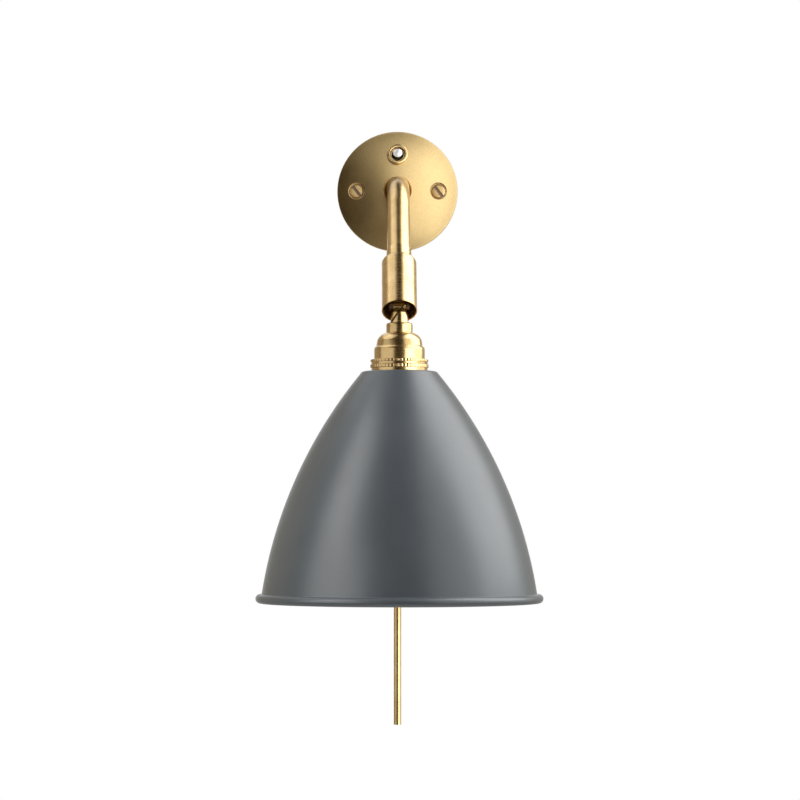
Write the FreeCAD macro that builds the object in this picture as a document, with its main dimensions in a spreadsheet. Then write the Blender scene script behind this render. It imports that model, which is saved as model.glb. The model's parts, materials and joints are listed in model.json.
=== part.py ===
import FreeCAD, Part
import os
import re
from FreeCAD import Placement, Rotation, Vector
import Sketcher

# A wall light: a domed brass plate, a bent brass tube, an open knuckle joint, a brass
# lampholder cap with two knurled rings, and a spun metal bell shade with a rolled rim.
#
# Frame, in millimetres: the origin is the centre of the wall plate's back face, on the wall.
# +Z is up, +X is to the right of someone facing the wall, and the light stands out along -Y.
# "Out" in a name is a distance from the wall, "drop" a distance below the plate's centre.

# ---------------------------------------------------------------------------------------
# Driving sizes: name -> millimetres, degrees or a count
# ---------------------------------------------------------------------------------------
SIZES = {
    # how far a cutting shape runs past the face that it cuts
    "spare": 1.0,
    # wall plate, a shallow dome with a hollow back
    "plate_radius": 35.5,
    "plate_dome": 8.5,
    "plate_edge": 2.0,
    "plate_wall": 1.6,
    "plate_bevel": 0.5,
    # fixing screws of the plate, each in a round recess
    "screw_inset": 11.35,
    "screw_head_radius": 4.2,
    "screw_head_height": 2.6,
    "screw_crown_radius": 3.15,
    "screw_crown_height": 0.65,
    "screw_crown_round": 1.5,
    "screw_neck_radius": 2.1,
    "screw_shank_radius": 1.9,
    "screw_point_radius": 0.6,
    "screw_point_length": 5.7,
    "screw_reach": 14.0,
    "screw_slot_width": 1.1,
    "screw_slot_depth": 1.1,
    "screw_slot_turn": -63.0,
    "screw_play": 0.3,
    "recess_gap": 0.75,
    "recess_floor": 1.9,
    "recess_wall": 1.9,
    "recess_bevel": 0.5,
    "recess_flare": 2.0,
    # arm tube and what clamps it in the plate
    "arm_radius": 6.55,
    "arm_wall": 1.0,
    "arm_out": 20.0,
    "arm_start": 0.6,
    "arm_straight": 34.3,
    "bend_radius": 32.0,
    "lean": 35.0,
    "arm_gap": 0.7,
    "arm_bevel": 1.1,
    "land_out": 5.0,
    "land_radius": 11.2,
    "bush_radius": 10.8,
    "bush_flange": 1.5,
    "bush_spigot": 1.0,
    "nut_flats": 17.0,
    "nut_height": 2.4,
    # push switch at the top of the plate, square to the dome
    "switch_inset": 14.2,
    "barrel_radius": 4.15,
    "barrel_bore": 3.25,
    "barrel_proud": 1.1,
    "barrel_play": 0.1,
    "ring_radius": 6.1,
    "ring_height": 2.3,
    "ring_round": 0.8,
    "ring_seat": 0.25,
    "button_radius": 2.95,
    "button_proud": 4.4,
    "button_round": 0.7,
    "button_flange": 1.4,
    "button_tail": 2.0,
    "capsule_radius": 6.2,
    "capsule_length": 13.0,
    "capsule_seat": 2.6,
    "capsule_socket": 2.0,
    "capsule_wall": 1.4,
    "capsule_boss": 1.0,
    "tab_width": 3.0,
    "tab_thick": 0.8,
    "tab_spread": 3.2,
    "tab_length": 5.0,
    # conduit tube that takes the lead down the wall
    "conduit_radius": 2.18,
    "conduit_wall": 0.45,
    "conduit_out": 2.45,
    "conduit_inset": 19.5,
    "conduit_end": 313.6,
    "channel_half_width": 5.0,
    # terminals behind the plate
    "post_inset_across": 22.0,
    "post_inset_down": 20.0,
    "block_width": 9.0,
    "block_height": 7.0,
    "block_depth": 9.0,
    "block_seat": 3.2,
    "block_post": 3.0,
    "terminal_radius": 1.3,
    "terminal_pitch": 4.4,
    "terminal_height": 1.6,
    "clamp_radius": 1.7,
    "earth_radius": 2.3,
    "earth_height": 2.4,
    "earth_washer": 1.0,
    # collar and hollow bolt at the arm's lower end
    "collar_radius": 7.1,
    "collar_length": 6.9,
    "collar_spigot": 8.0,
    "bolt_radius": 4.5,
    "bolt_bore": 3.4,
    "bolt_head_radius": 7.0,
    "bolt_head": 2.2,
    "washer_radius": 8.2,
    "washer_thick": 0.8,
    # joint housing, open at its lower end
    "housing_radius": 9.9,
    "housing_bore": 9.2,
    "housing_length": 36.6,
    "housing_top": 3.0,
    "housing_round": 2.8,
    "housing_lip": 0.35,
    "joint_gap": 0.1,
    "running_play": 0.06,
    # fork and hinge pin inside the housing
    "pivot_depth": 4.2,
    "fork_radius": 5.5,
    "fork_half_slot": 3.6,
    "fork_end": 2.5,
    "fork_gap": 0.8,
    "fork_neck": 7.0,
    "fork_flange": 4.0,
    "fork_bore": 2.8,
    "pin_radius": 1.1,
    "pin_stand": 0.3,
    # knuckle, measured down from the hinge axis when the shade hangs straight
    "eye_radius": 2.5,
    "eye_round": 0.9,
    "eye_play": 0.1,
    "stem_top": 2.6,
    "stem_tip_radius": 2.9,
    "stem_round": 1.7,
    "stem_taper": 0.5,
    "stem_radius": 5.05,
    "stem_length": 7.2,
    "web_half_width": 2.9,
    "web_half_depth": 2.0,
    "tail_radius": 4.0,
    "tail_length": 10.4,
    "wire_bore": 2.4,
    "wire_bore_rise": 2.4,
    "groove_width": 1.0,
    "groove_floor": 1.8,
    "groove_turn": 35.0,
    "groove_shift": -2.2,
    # neck ring and domed cap of the lampholder
    "neck_radius": 7.4,
    "neck_length": 5.5,
    "neck_round": 1.2,
    "cap_crown": 7.8,
    "cap_crown_round": 7.0,
    "cap_shoulder": 12.5,
    "cap_dome_radius": 13.0,
    "cap_shoulder_height": 4.4,
    "cap_dome_height": 7.6,
    "cap_step": 1.9,
    "cap_step_round": 2.1,
    "cap_radius": 14.2,
    "cap_length": 15.1,
    "cap_wall": 0.9,
    "stem_nut_flats": 12.0,
    "stem_nut_height": 2.4,
    # lampholder inside the cap
    "sleeve_radius": 13.15,
    "sleeve_bore": 10.5,
    "sleeve_overlap": 4.8,
    "sleeve_length": 33.0,
    "base_radius": 11.4,
    "base_height": 4.6,
    "base_spigot": 7.0,
    "base_round": 1.6,
    "shell_radius": 7.5,
    "shell_wall": 0.4,
    "shell_length": 20.0,
    "contact_radius": 1.8,
    "contact_height": 3.2,
    "contact_round": 0.8,
    # knurled rings under the cap
    "knurl_teeth": 52,
    "knurl_depth": 0.55,
    "knurl_share": 0.85,
    "knurl_overshoot": 0.02,
    "collar_knurl_radius": 16.1,
    "collar_knurl": 1.45,
    "collar_band_radius": 15.8,
    "collar_band": 1.35,
    "ring_knurl_radius": 16.25,
    "ring_knurl": 1.9,
    "ring_band_radius": 15.75,
    "ring_band": 1.9,
    "inner_ring_radius": 17.5,
    "inner_ring": 3.0,
    "inner_ring_round": 1.0,
    # bell shade
    "shade_corner": 19.6,
    "shade_corner_round": 2.4,
    "shade_shoulder": 21.9,
    "shade_shoulder_drop": 1.45,
    "shade_sweep": 253.9,
    "foot_inset": 3.45,
    "shade_height": 128.9,
    "shade_wall": 1.0,
    "shade_play": 0.15,
    "rim_radius": 80.0,
    "rim_roll": 2.5,
    # lamp bulb
    "bulb_cap_radius": 6.85,
    "bulb_cap_length": 18.5,
    "bulb_tip": 1.2,
    "bulb_tip_radius": 2.4,
    "bulb_radius": 22.5,
    "bulb_neck_radius": 6.6,
    "bulb_waist_radius": 13.2,
    "bulb_length": 50.0,
    "bulb_skin": 0.7,
}

# Places worked out from those sizes
SCREW_OUT = "(plate_radius - screw_inset)"
SWITCH_UP = "(plate_radius - switch_inset)"
POST_ACROSS = "(plate_radius - post_inset_across)"
POST_DOWN = "(plate_radius - post_inset_down)"
CONDUIT_TOP = "(plate_radius - conduit_inset)"
DOME_RISE = "(plate_dome - plate_edge)"
DOME_RADIUS = f"((plate_radius^2 + {DOME_RISE}^2) / (2 * {DOME_RISE}))"
DOME_CENTRE = f"(plate_dome - {DOME_RADIUS})"
CEILING_RADIUS = f"({DOME_RADIUS} - plate_wall)"
HOLE_RADIUS = "(arm_radius + arm_gap)"
RECESS_RADIUS = "(screw_head_radius + recess_gap)"
SWITCH_TILT = f"(asin({SWITCH_UP} / {DOME_RADIUS}) / 1 deg)"
SWITCH_OUT = f"({DOME_CENTRE} + {DOME_RADIUS} * cos({SWITCH_TILT}))"
BARREL_END = "(capsule_seat + capsule_socket)"
BUSH_BACK = "(land_out - bush_flange)"
PLAIN_ARM = "(arm_straight + collar_length + joint_gap + housing_length)"
MOUTH_OUT = f"(arm_out + bend_radius * cos(lean) + {PLAIN_ARM} * sin(lean))"
MOUTH_DROP = f"(bend_radius * (1 - sin(lean)) + {PLAIN_ARM} * cos(lean))"
PIVOT_OUT = f"({MOUTH_OUT} - pivot_depth * sin(lean))"
PIVOT_DROP = f"({MOUTH_DROP} - pivot_depth * cos(lean))"
HOUSING_CEILING = "(housing_length - housing_top)"
COLLAR_FOOT = "(housing_length + joint_gap)"
COLLAR_HEAD = f"({COLLAR_FOOT} + collar_length)"
FORK_ROOT = "(pivot_depth + fork_end + fork_gap)"
FORK_SEAT = f"({FORK_ROOT} + fork_neck)"
EYE_HALF = "(fork_half_slot - eye_play)"
NECK_TOP = "(stem_top + stem_length)"
CAP_TOP = f"({NECK_TOP} + neck_length)"
CAP_END = f"({CAP_TOP} + cap_length)"
SLEEVE_TOP = f"({CAP_END} - sleeve_overlap)"
SLEEVE_END = f"({SLEEVE_TOP} + sleeve_length)"
RING_TOP = f"({CAP_END} + collar_knurl + collar_band)"
SHADE_TOP = f"({RING_TOP} + ring_knurl + ring_band)"
SHADE_END = f"({SHADE_TOP} + shade_height)"
SHELL_TOP = f"({SLEEVE_TOP} + base_spigot)"
BULB_TIP = f"({SHELL_TOP} + contact_height)"
BULB_SEAT = f"({BULB_TIP} + bulb_tip + bulb_cap_length)"

DOC = FreeCAD.newDocument("HangingWallSconce")
SHEET = DOC.addObject("Spreadsheet::Sheet", "Size")
PARTS = []


def fill_sheet():
    """Write the driving sizes into the sheet, one named cell each."""
    for row, (name, number) in enumerate(SIZES.items(), start=1):
        SHEET.set(f"A{row}", name)
        SHEET.set(f"B{row}", str(number))
        SHEET.setAlias(f"B{row}", name)
    DOC.recompute()


def named(expression):
    """Return the expression with each size written as a cell of the sheet."""
    def cell(word):
        return f"Size.{word.group()}" if word.group() in SIZES else word.group()
    return re.sub(r"[a-z][a-z_]+", cell, str(expression))


def value(expression):
    """Return the number that an expression gives now."""
    return float(SHEET.evalExpression(named(expression)))


def bind(thing, **sizes):
    """Tie properties of an object to expressions of the sheet's sizes."""
    for name, expression in sizes.items():
        whole = isinstance(getattr(thing, name), int)
        setattr(thing, name, round(value(expression)) if whole else value(expression))
        thing.setExpression(name, named(expression))
    return thing


def seat(thing, x="0", y="0", z="0", turn="0", axis=Vector(1, 0, 0)):
    """Place an object by expressions: a base point and a turn about an axis."""
    thing.Placement = Placement(Vector(value(x), value(y), value(z)), Rotation(axis, value(turn)))
    thing.setExpression("Placement.Base.x", named(x))
    thing.setExpression("Placement.Base.y", named(y))
    thing.setExpression("Placement.Base.z", named(z))
    thing.setExpression("Placement.Rotation.Angle", named(turn))
    return thing


# Seats shared by the pieces of one sub-assembly. In the wall and switch seats local Z points
# out, in the joint seat it points up the arm from the housing's mouth, and in the shade seat
# it points down from the hinge axis.
WALL = {"turn": "90"}
SWITCH = {"y": f"-{SWITCH_OUT}", "z": SWITCH_UP, "turn": f"90 - {SWITCH_TILT}"}
JOINT = {"y": f"-{MOUTH_OUT}", "z": f"-{MOUTH_DROP}", "turn": "-lean"}
SHADE = {"y": f"-{PIVOT_OUT}", "z": f"-{PIVOT_DROP}", "turn": "180"}


def body(label, place):
    """Start a body at a seat."""
    piece = DOC.addObject("PartDesign::Body", label)
    piece.Label = label
    return seat(piece, **place)


def sketch_in(piece, name, plane="XZ_Plane", lift="0"):
    """Add a sketch to a body on one of its own origin planes, lifted along the normal."""
    sketch = piece.newObject("Sketcher::SketchObject", name)
    base = [item for item in piece.Origin.OriginFeatures if item.Role == plane][0]
    sketch.AttachmentSupport = [(base, "")]
    sketch.MapMode = "FlatFace"
    sketch.AttachmentOffset = Placement(Vector(0, 0, value(lift)), Rotation())
    sketch.setExpression("AttachmentOffset.Base.z", named(lift))
    DOC.recompute()
    return sketch


def arc_between(start, end, centre, clockwise):
    """Return the arc about a centre and which of its ends lies at the start."""
    first, last = (end, start) if clockwise else (start, end)
    circle = Part.Circle(centre, Vector(0, 0, 1), (start - centre).Length)
    return Part.ArcOfCircle(circle, circle.parameter(first), circle.parameter(last)), clockwise


def fix(sketch, geometry, spot, x, y):
    """Hold a point of a sketch at two expressions."""
    for kind, expression in (("DistanceX", x), ("DistanceY", y)):
        rule = sketch.addConstraint(
            Sketcher.Constraint(kind, -1, 1, geometry, spot, value(expression)))
        sketch.setExpression(f"Constraints[{rule}]", named(expression))


def outline(sketch, corners):
    """Draw a closed outline through corners (x, y) or (x, y, bend).

    A bend shapes the edge to the next corner: a radius expression for an arc that turns
    anticlockwise, or "axis" for an arc whose centre lies on the sketch's vertical axis; after
    a minus either turns clockwise.
    """
    points = [Vector(value(corner[0]), value(corner[1]), 0) for corner in corners]
    edges = []
    for index, corner in enumerate(corners):
        start, end = points[index], points[(index + 1) % len(points)]
        bend = corner[2] if len(corner) > 2 else None
        if bend is None:
            edges.append((Part.LineSegment(start, end), False))
            continue
        clockwise = bend.startswith("-")
        half = (end - start) * 0.5
        if bend.lstrip("-") == "axis":
            height = (end.x ** 2 + end.y ** 2 - start.x ** 2 - start.y ** 2) / (2 * (end.y - start.y))
            centre = Vector(0, height, 0)
        else:
            radius = abs(value(bend))
            reach = max(radius ** 2 - half.Length ** 2, 0) ** 0.5 / half.Length
            side = Vector(-half.y, half.x, 0) * (-reach if clockwise else reach)
            centre = start + half + side
        edges.append(arc_between(start, end, centre, clockwise))
    ids = [sketch.addGeometry(edge) for edge, _ in edges]
    for index, corner in enumerate(corners):
        following = (index + 1) % len(corners)
        end_spot = 1 if edges[index][1] else 2
        start_spot = 2 if edges[index][1] else 1
        next_spot = 2 if edges[following][1] else 1
        sketch.addConstraint(
            Sketcher.Constraint("Coincident", ids[index], end_spot, ids[following], next_spot))
        fix(sketch, ids[index], start_spot, corner[0], corner[1])
        bend = corner[2] if len(corner) > 2 else None
        if bend is None:
            continue
        if bend.lstrip("-") == "axis":
            sketch.addConstraint(Sketcher.Constraint("PointOnObject", ids[index], 3, -2))
        else:
            size = bend.lstrip("-")
            rule = sketch.addConstraint(Sketcher.Constraint("Radius", ids[index], value(size)))
            sketch.setExpression(f"Constraints[{rule}]", named(size))


def ring(sketch, radius, x="0", y="0"):
    """Draw a circle about a point."""
    circle = Part.Circle(Vector(value(x), value(y), 0), Vector(0, 0, 1), value(radius))
    spot = sketch.addGeometry(circle)
    fix(sketch, spot, 3, x, y)
    rule = sketch.addConstraint(Sketcher.Constraint("Radius", spot, value(radius)))
    sketch.setExpression(f"Constraints[{rule}]", named(radius))


def feature(piece, kind, name, sketch, **sizes):
    """Add a feature on a sketch; return it with the solid's volume before it."""
    DOC.recompute()
    before = 0.0 if piece.Shape.isNull() else piece.Shape.Volume
    item = piece.newObject(kind, name)
    item.Profile = sketch
    bind(item, **sizes)
    sketch.Visibility = False
    return item, before


def revolve(piece, name, sketch, axis="V_Axis"):
    """Turn a profile about an axis of its sketch."""
    item, _ = feature(piece, "PartDesign::Revolution", name, sketch)
    item.ReferenceAxis = (sketch, [axis])
    item.Angle = 360
    DOC.recompute()
    return item


def pad(piece, name, sketch, length, middle=False, back=False):
    """Raise a sketch, one way or to both sides of its plane."""
    item, _ = feature(piece, "PartDesign::Pad", name, sketch, Length=length)
    item.SideType = "Symmetric" if middle else "One side"
    item.Reversed = back
    DOC.recompute()
    return item


def pocket(piece, name, sketch, length, middle=False, back=False):
    """Cut a sketch into the solid, and check that something was cut."""
    item, before = feature(piece, "PartDesign::Pocket", name, sketch, Length=length)
    item.SideType = "Symmetric" if middle else "One side"
    item.Reversed = back
    DOC.recompute()
    if not item.Shape.Volume < before:
        raise RuntimeError(f"{name} cuts nothing")
    return item


def turned(label, place, corners):
    """Make a turned piece from half its section: (radius, height) corners."""
    piece = body(label, place)
    sketch = sketch_in(piece, label + "_section")
    outline(sketch, corners)
    revolve(piece, label + "_turn", sketch)
    return piece


def tube(label, place, outer, inner, low, high):
    """Make a plain ring or tube."""
    return turned(label, place, [(inner, low), (outer, low), (outer, high), (inner, high)])


def keep(piece):
    """Count a piece as a node of the model."""
    PARTS.append(piece)
    return piece


def cylinder(name, radius, height, place, low="0"):
    """Make a cylinder along a seat's local Z, from a height on that axis."""
    item = DOC.addObject("Part::Cylinder", name)
    bind(item, Radius=radius, Height=height)
    return shifted(item, place, z=low)


def shifted(item, place, x="0", y="0", z="0"):
    """Seat a primitive at a point of a seat's local frame, turned as the seat is."""
    turn = place.get("turn", "0")
    seat(item,
         x=f"({place.get('x', '0')}) + ({x})",
         y=f"({place.get('y', '0')}) + ({y}) * cos({turn}) - ({z}) * sin({turn})",
         z=f"({place.get('z', '0')}) + ({y}) * sin({turn}) + ({z}) * cos({turn})",
         turn=turn)
    return item


def join(name, items):
    """Fuse several objects."""
    item = DOC.addObject("Part::MultiFuse", name)
    item.Shapes = items
    return item


def cut(name, base, tool):
    """Cut one object from another."""
    item = DOC.addObject("Part::Cut", name)
    item.Base = base
    item.Tool = tool
    return item


def hexagon(sketch, flats):
    """Draw a hexagon by its width across flats, with two flats level."""
    corners = [(f"{flats} / sqrt(3) * cos({60 * step})", f"{flats} / sqrt(3) * sin({60 * step})")
               for step in range(6)]
    outline(sketch, corners)


def hex_nut(label, place, flats, bore, low, height):
    """Make a hexagon nut on a seat's axis."""
    piece = body(label, place)
    sketch = sketch_in(piece, label + "_face", "XY_Plane", low)
    hexagon(sketch, flats)
    ring(sketch, bore)
    pad(piece, label + "_pad", sketch, height)
    return keep(piece)


# ---------------------------------------------------------------------------------------
# Wall plate and what it carries
# ---------------------------------------------------------------------------------------
def wall_plate():
    """Domed plate: hollow back with bosses, a bevelled hole, two recesses, a spot face."""
    bevel_out = f"({DOME_CENTRE} + sqrt({DOME_RADIUS}^2 - ({HOLE_RADIUS} + arm_bevel)^2))"
    blank = turned("plate_blank", WALL, [
        (HOLE_RADIUS, "0"),
        ("plate_radius", "0"),
        ("plate_radius", "plate_edge - plate_bevel"),
        ("plate_radius - plate_bevel",
         f"{DOME_CENTRE} + sqrt({DOME_RADIUS}^2 - (plate_radius - plate_bevel)^2)", "axis"),
        (f"{HOLE_RADIUS} + arm_bevel", bevel_out),
        (HOLE_RADIUS, f"{bevel_out} - arm_bevel"),
    ])
    rim = "(plate_radius - plate_wall)"
    cavity = turned("plate_cavity", WALL, [
        ("0", "-spare"),
        (rim, "-spare"),
        (rim, f"{DOME_CENTRE} + sqrt({CEILING_RADIUS}^2 - {rim}^2)", "axis"),
        ("land_radius", f"{DOME_CENTRE} + sqrt({CEILING_RADIUS}^2 - land_radius^2)"),
        ("land_radius", "land_out"),
        ("0", "land_out"),
    ])
    boss_radius = f"({RECESS_RADIUS} + recess_wall)"
    bosses = [boss_at(f"screw_boss_{side}", boss_radius, f"{sign} * {SCREW_OUT}", "0", "-spare")
              for side, sign in (("left", -1), ("right", 1))]
    bosses.append(boss_at("block_boss", "block_post", POST_ACROSS, f"-{POST_DOWN}", "block_seat"))
    bosses.append(boss_at("earth_boss", "block_post", f"-{POST_ACROSS}", f"-{POST_DOWN}", "block_seat"))
    bosses.append(cylinder("switch_boss", "capsule_radius + capsule_boss", "capsule_seat + spare",
                           SWITCH, "-capsule_seat"))
    channel = DOC.addObject("Part::Box", "conduit_channel_boss")
    bind(channel, Length="2 * channel_half_width", Width="plate_dome",
         Height="plate_radius - land_radius")
    seat(channel, x="-channel_half_width", y="-conduit_out - plate_dome", z="-plate_radius")
    bosses.append(channel)
    hollow = cut("plate_hollow", cavity, join("plate_bosses", bosses))
    shell = cut("plate_shell", blank, hollow)

    holes = []
    for side, sign in (("left", -1), ("right", 1)):
        across = f"{sign} * {SCREW_OUT}"
        surface = f"({DOME_CENTRE} + sqrt({DOME_RADIUS}^2 - {SCREW_OUT}^2))"
        holes.append(boss_at(f"recess_{side}", RECESS_RADIUS, across, "0", "recess_floor"))
        holes.append(boss_at(f"shank_hole_{side}", "screw_neck_radius + screw_play", across, "0",
                             "-spare"))
        cone = DOC.addObject("Part::Cone", f"recess_bevel_{side}")
        bind(cone, Radius1=RECESS_RADIUS, Radius2=f"{RECESS_RADIUS} + recess_flare",
             Height="recess_flare")
        holes.append(shifted(cone, WALL, x=across, z=f"{surface} - recess_bevel"))
    holes.append(cylinder("barrel_hole", "barrel_radius + barrel_play", "2 * plate_dome", SWITCH,
                          "-plate_dome"))
    holes.append(cylinder("ring_spot_face", "ring_radius + barrel_play", "ring_height", SWITCH,
                          "-ring_seat"))
    bore = DOC.addObject("Part::Cylinder", "conduit_hole")
    bind(bore, Radius="conduit_radius", Height=f"plate_radius - {CONDUIT_TOP} + spare")
    holes.append(seat(bore, y="-conduit_out", z="-plate_radius - spare"))
    return keep(cut("wall_plate", shell, join("plate_holes", holes)))


def boss_at(name, radius, across, up, low):
    """Make a long cylinder square to the wall at a point of the plate."""
    item = DOC.addObject("Part::Cylinder", name)
    bind(item, Radius=radius, Height="plate_dome + 2 * spare")
    return shifted(item, WALL, x=across, y=up, z=low)


def slotted_screw(label, across):
    """Cheese-head wood screw in its recess, its slot set at a slant."""
    place = {"x": across, "turn": "90"}
    head = "(recess_floor + screw_head_height)"
    piece = turned(label, place, [
        ("0", "-screw_reach"),
        ("screw_point_radius", "-screw_reach"),
        ("screw_shank_radius", "-screw_reach + screw_point_length"),
        ("screw_shank_radius", "0"),
        ("screw_neck_radius", "0"),
        ("screw_neck_radius", "recess_floor"),
        ("screw_head_radius", "recess_floor"),
        ("screw_head_radius", f"{head} - screw_crown_height", "screw_crown_round"),
        ("screw_crown_radius", head),
        ("0", head),
    ])
    sketch = sketch_in(piece, label + "_slot_sketch", "XY_Plane", head)
    half, reach = "screw_slot_width / 2", "(screw_head_radius + spare)"
    corners = []
    for along, aside in ((-1, -1), (1, -1), (1, 1), (-1, 1)):
        corners.append((
            f"{along} * {reach} * cos(screw_slot_turn) - {aside} * {half} * sin(screw_slot_turn)",
            f"{along} * {reach} * sin(screw_slot_turn) + {aside} * {half} * cos(screw_slot_turn)"))
    outline(sketch, corners)
    pocket(piece, label + "_slot", sketch, "screw_slot_depth")
    return piece


def plate_screws():
    """Two fixing screws as one group."""
    group = DOC.addObject("Part::Compound", "plate_screws")
    group.Links = [slotted_screw("screw_left", f"-{SCREW_OUT}"),
                   slotted_screw("screw_right", SCREW_OUT)]
    return keep(group)


def arm_bush():
    """Stepped bush that centres the arm in the plate's hole from behind."""
    return keep(turned("arm_bush", WALL, [
        ("arm_radius", BUSH_BACK),
        ("bush_radius", BUSH_BACK),
        ("bush_radius", "land_out"),
        (HOLE_RADIUS, "land_out"),
        (HOLE_RADIUS, "land_out + bush_spigot"),
        ("arm_radius", "land_out + bush_spigot"),
    ]))


def arm_tube():
    """Tube that runs straight out, bends once and comes down at a lean to the collar."""
    piece = body("arm_tube", {})
    section = sketch_in(piece, "arm_section", "XZ_Plane", "arm_start")
    ring(section, "arm_radius")
    ring(section, "arm_radius - arm_wall")
    path = sketch_in(piece, "arm_path", "YZ_Plane")
    bend_end = ("-(arm_out + bend_radius * cos(lean))", "-(bend_radius * (1 - sin(lean)))")
    foot = ("-(arm_out + bend_radius * cos(lean) + arm_straight * sin(lean))",
            "-(bend_radius * (1 - sin(lean)) + arm_straight * cos(lean))")
    start = Vector(value("-arm_start"), 0, 0)
    knee = Vector(value("-arm_out"), 0, 0)
    curve_end = Vector(value(bend_end[0]), value(bend_end[1]), 0)
    centre = Vector(value("-arm_out"), value("-bend_radius"), 0)
    end = Vector(value(foot[0]), value(foot[1]), 0)
    bend, _ = arc_between(knee, curve_end, centre, False)
    spots = [path.addGeometry(item) for item in (
        Part.LineSegment(start, knee), bend, Part.LineSegment(curve_end, end))]
    path.addConstraint(Sketcher.Constraint("Coincident", spots[0], 2, spots[1], 1))
    path.addConstraint(Sketcher.Constraint("Tangent", spots[1], 2, spots[2], 1))
    fix(path, spots[0], 1, "-arm_start", "0")
    fix(path, spots[0], 2, "-arm_out", "0")
    fix(path, spots[1], 3, "-arm_out", "-bend_radius")
    fix(path, spots[2], 2, *foot)
    DOC.recompute()
    pipe = piece.newObject("PartDesign::AdditivePipe", "arm_sweep")
    pipe.Profile = section
    pipe.Spine = path
    DOC.recompute()
    return keep(piece)


def conduit_tube():
    """Straight tube down the wall, its top end in the plate's channel."""
    place = {"y": "-conduit_out", "z": "-conduit_end"}
    return keep(tube("conduit_tube", place, "conduit_radius", "conduit_radius - conduit_wall",
                     "0", f"conduit_end - {CONDUIT_TOP}"))


# ---------------------------------------------------------------------------------------
# Push switch
# ---------------------------------------------------------------------------------------
def switch_ring_nut():
    """Round brass ring with a rolled lip that clamps the switch barrel."""
    top = "(ring_height - ring_seat)"
    return keep(turned("switch_ring_nut", SWITCH, [
        ("barrel_radius", "-ring_seat"),
        ("ring_radius", "-ring_seat"),
        ("ring_radius", f"{top} - ring_round", "ring_round"),
        ("ring_radius - ring_round", top),
        ("barrel_radius + ring_round / 2", top),
        ("barrel_radius", f"{top} - ring_round / 2"),
    ]))


def switch_barrel():
    """Threaded barrel through the plate, in which the button slides."""
    return keep(tube("switch_barrel", SWITCH, "barrel_radius", "barrel_bore",
                     f"-{BARREL_END}", "barrel_proud"))


def switch_body():
    """Moulded capsule behind the plate: a socket for the barrel and a well for the button."""
    well = "(barrel_radius)"
    floor = "(capsule_seat + capsule_length)"
    return keep(turned("switch_body", SWITCH, [
        ("0", f"-{floor}"),
        ("capsule_radius - capsule_wall / 2", f"-{floor}"),
        ("capsule_radius", f"-{floor} + capsule_wall / 2"),
        ("capsule_radius", "-capsule_seat"),
        (well, "-capsule_seat"),
        (well, f"-{floor} + 2 * capsule_wall"),
        ("0", f"-{floor} + 2 * capsule_wall"),
    ]))


def switch_tabs():
    """Two blade terminals that stand out of the capsule's floor."""
    group = DOC.addObject("Part::Compound", "switch_tabs")
    blades = []
    for side, sign in (("left", -1), ("right", 1)):
        blade = DOC.addObject("Part::Box", f"tab_{side}")
        bind(blade, Length="tab_thick", Width="tab_width", Height="tab_length")
        blades.append(shifted(blade, SWITCH, x=f"{sign} * tab_spread - tab_thick / 2",
                              y="-tab_width / 2", z="-capsule_seat - capsule_length - tab_length"))
    group.Links = blades
    return keep(group)


def switch_button():
    """Push button: rounded tip, shaft, retaining flange and contact tail."""
    flange_top = f"({BARREL_END} + joint_gap)"
    flange_low = f"({flange_top} + button_flange)"
    return keep(turned("switch_button", SWITCH, [
        ("0", f"-{flange_low} - button_tail"),
        ("button_radius / 2", f"-{flange_low} - button_tail"),
        ("button_radius / 2", f"-{flange_low}"),
        ("barrel_radius - running_play", f"-{flange_low}"),
        ("barrel_radius - running_play", f"-{flange_top}"),
        ("button_radius", f"-{flange_top}"),
        ("button_radius", "button_proud - button_round", "button_round"),
        ("button_radius - button_round", "button_proud"),
        ("0", "button_proud"),
    ]))


# ---------------------------------------------------------------------------------------
# Terminals behind the plate
# ---------------------------------------------------------------------------------------
def terminal_block():
    """Two-pole block screwed to a post of the plate, with a lead hole to each pole."""
    piece = body("terminal_block", {"x": POST_ACROSS, "z": f"-{POST_DOWN}", "turn": "90"})
    sketch = sketch_in(piece, "block_face", "XY_Plane", "block_seat")
    half, up = "block_width / 2", "block_height / 2"
    outline(sketch, [(f"-{half}", f"-{up}"), (half, f"-{up}"), (half, up), (f"-{half}", up)])
    pad(piece, "block_pad", sketch, "block_depth", back=True)
    for side, sign in (("left", -1), ("right", 1)):
        across = f"{sign} * terminal_pitch / 2"
        lead = sketch_in(piece, f"lead_{side}", "XZ_Plane")
        ring(lead, "terminal_radius", across, "block_seat - block_depth / 2")
        pocket(piece, f"lead_hole_{side}", lead, "block_height + 2 * spare", middle=True)
    return keep(piece)


def terminal_screws():
    """The block's two clamp screws, seen from behind the plate."""
    group = DOC.addObject("Part::Compound", "terminal_screws")
    screws = []
    for side, sign in (("left", -1), ("right", 1)):
        place = {"x": f"{POST_ACROSS} + {sign} * terminal_pitch / 2", "z": f"-{POST_DOWN}",
                 "turn": "90"}
        back = "(block_seat - block_depth)"
        screws.append(turned(f"clamp_screw_{side}", place, [
            ("0", f"{back} - terminal_height"),
            ("clamp_radius", f"{back} - terminal_height"),
            ("clamp_radius", back),
            ("0", back),
        ]))
    group.Links = screws
    return keep(group)


def earth_screw():
    """Earth screw and its washer on the plate's second post."""
    place = {"x": f"-{POST_ACROSS}", "z": f"-{POST_DOWN}", "turn": "90"}
    return keep(turned("earth_screw", place, [
        ("0", "block_seat - earth_washer - earth_height"),
        ("earth_radius", "block_seat - earth_washer - earth_height"),
        ("earth_radius", "block_seat - earth_washer"),
        ("block_post", "block_seat - earth_washer"),
        ("block_post", "block_seat"),
        ("0", "block_seat"),
    ]))


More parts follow.
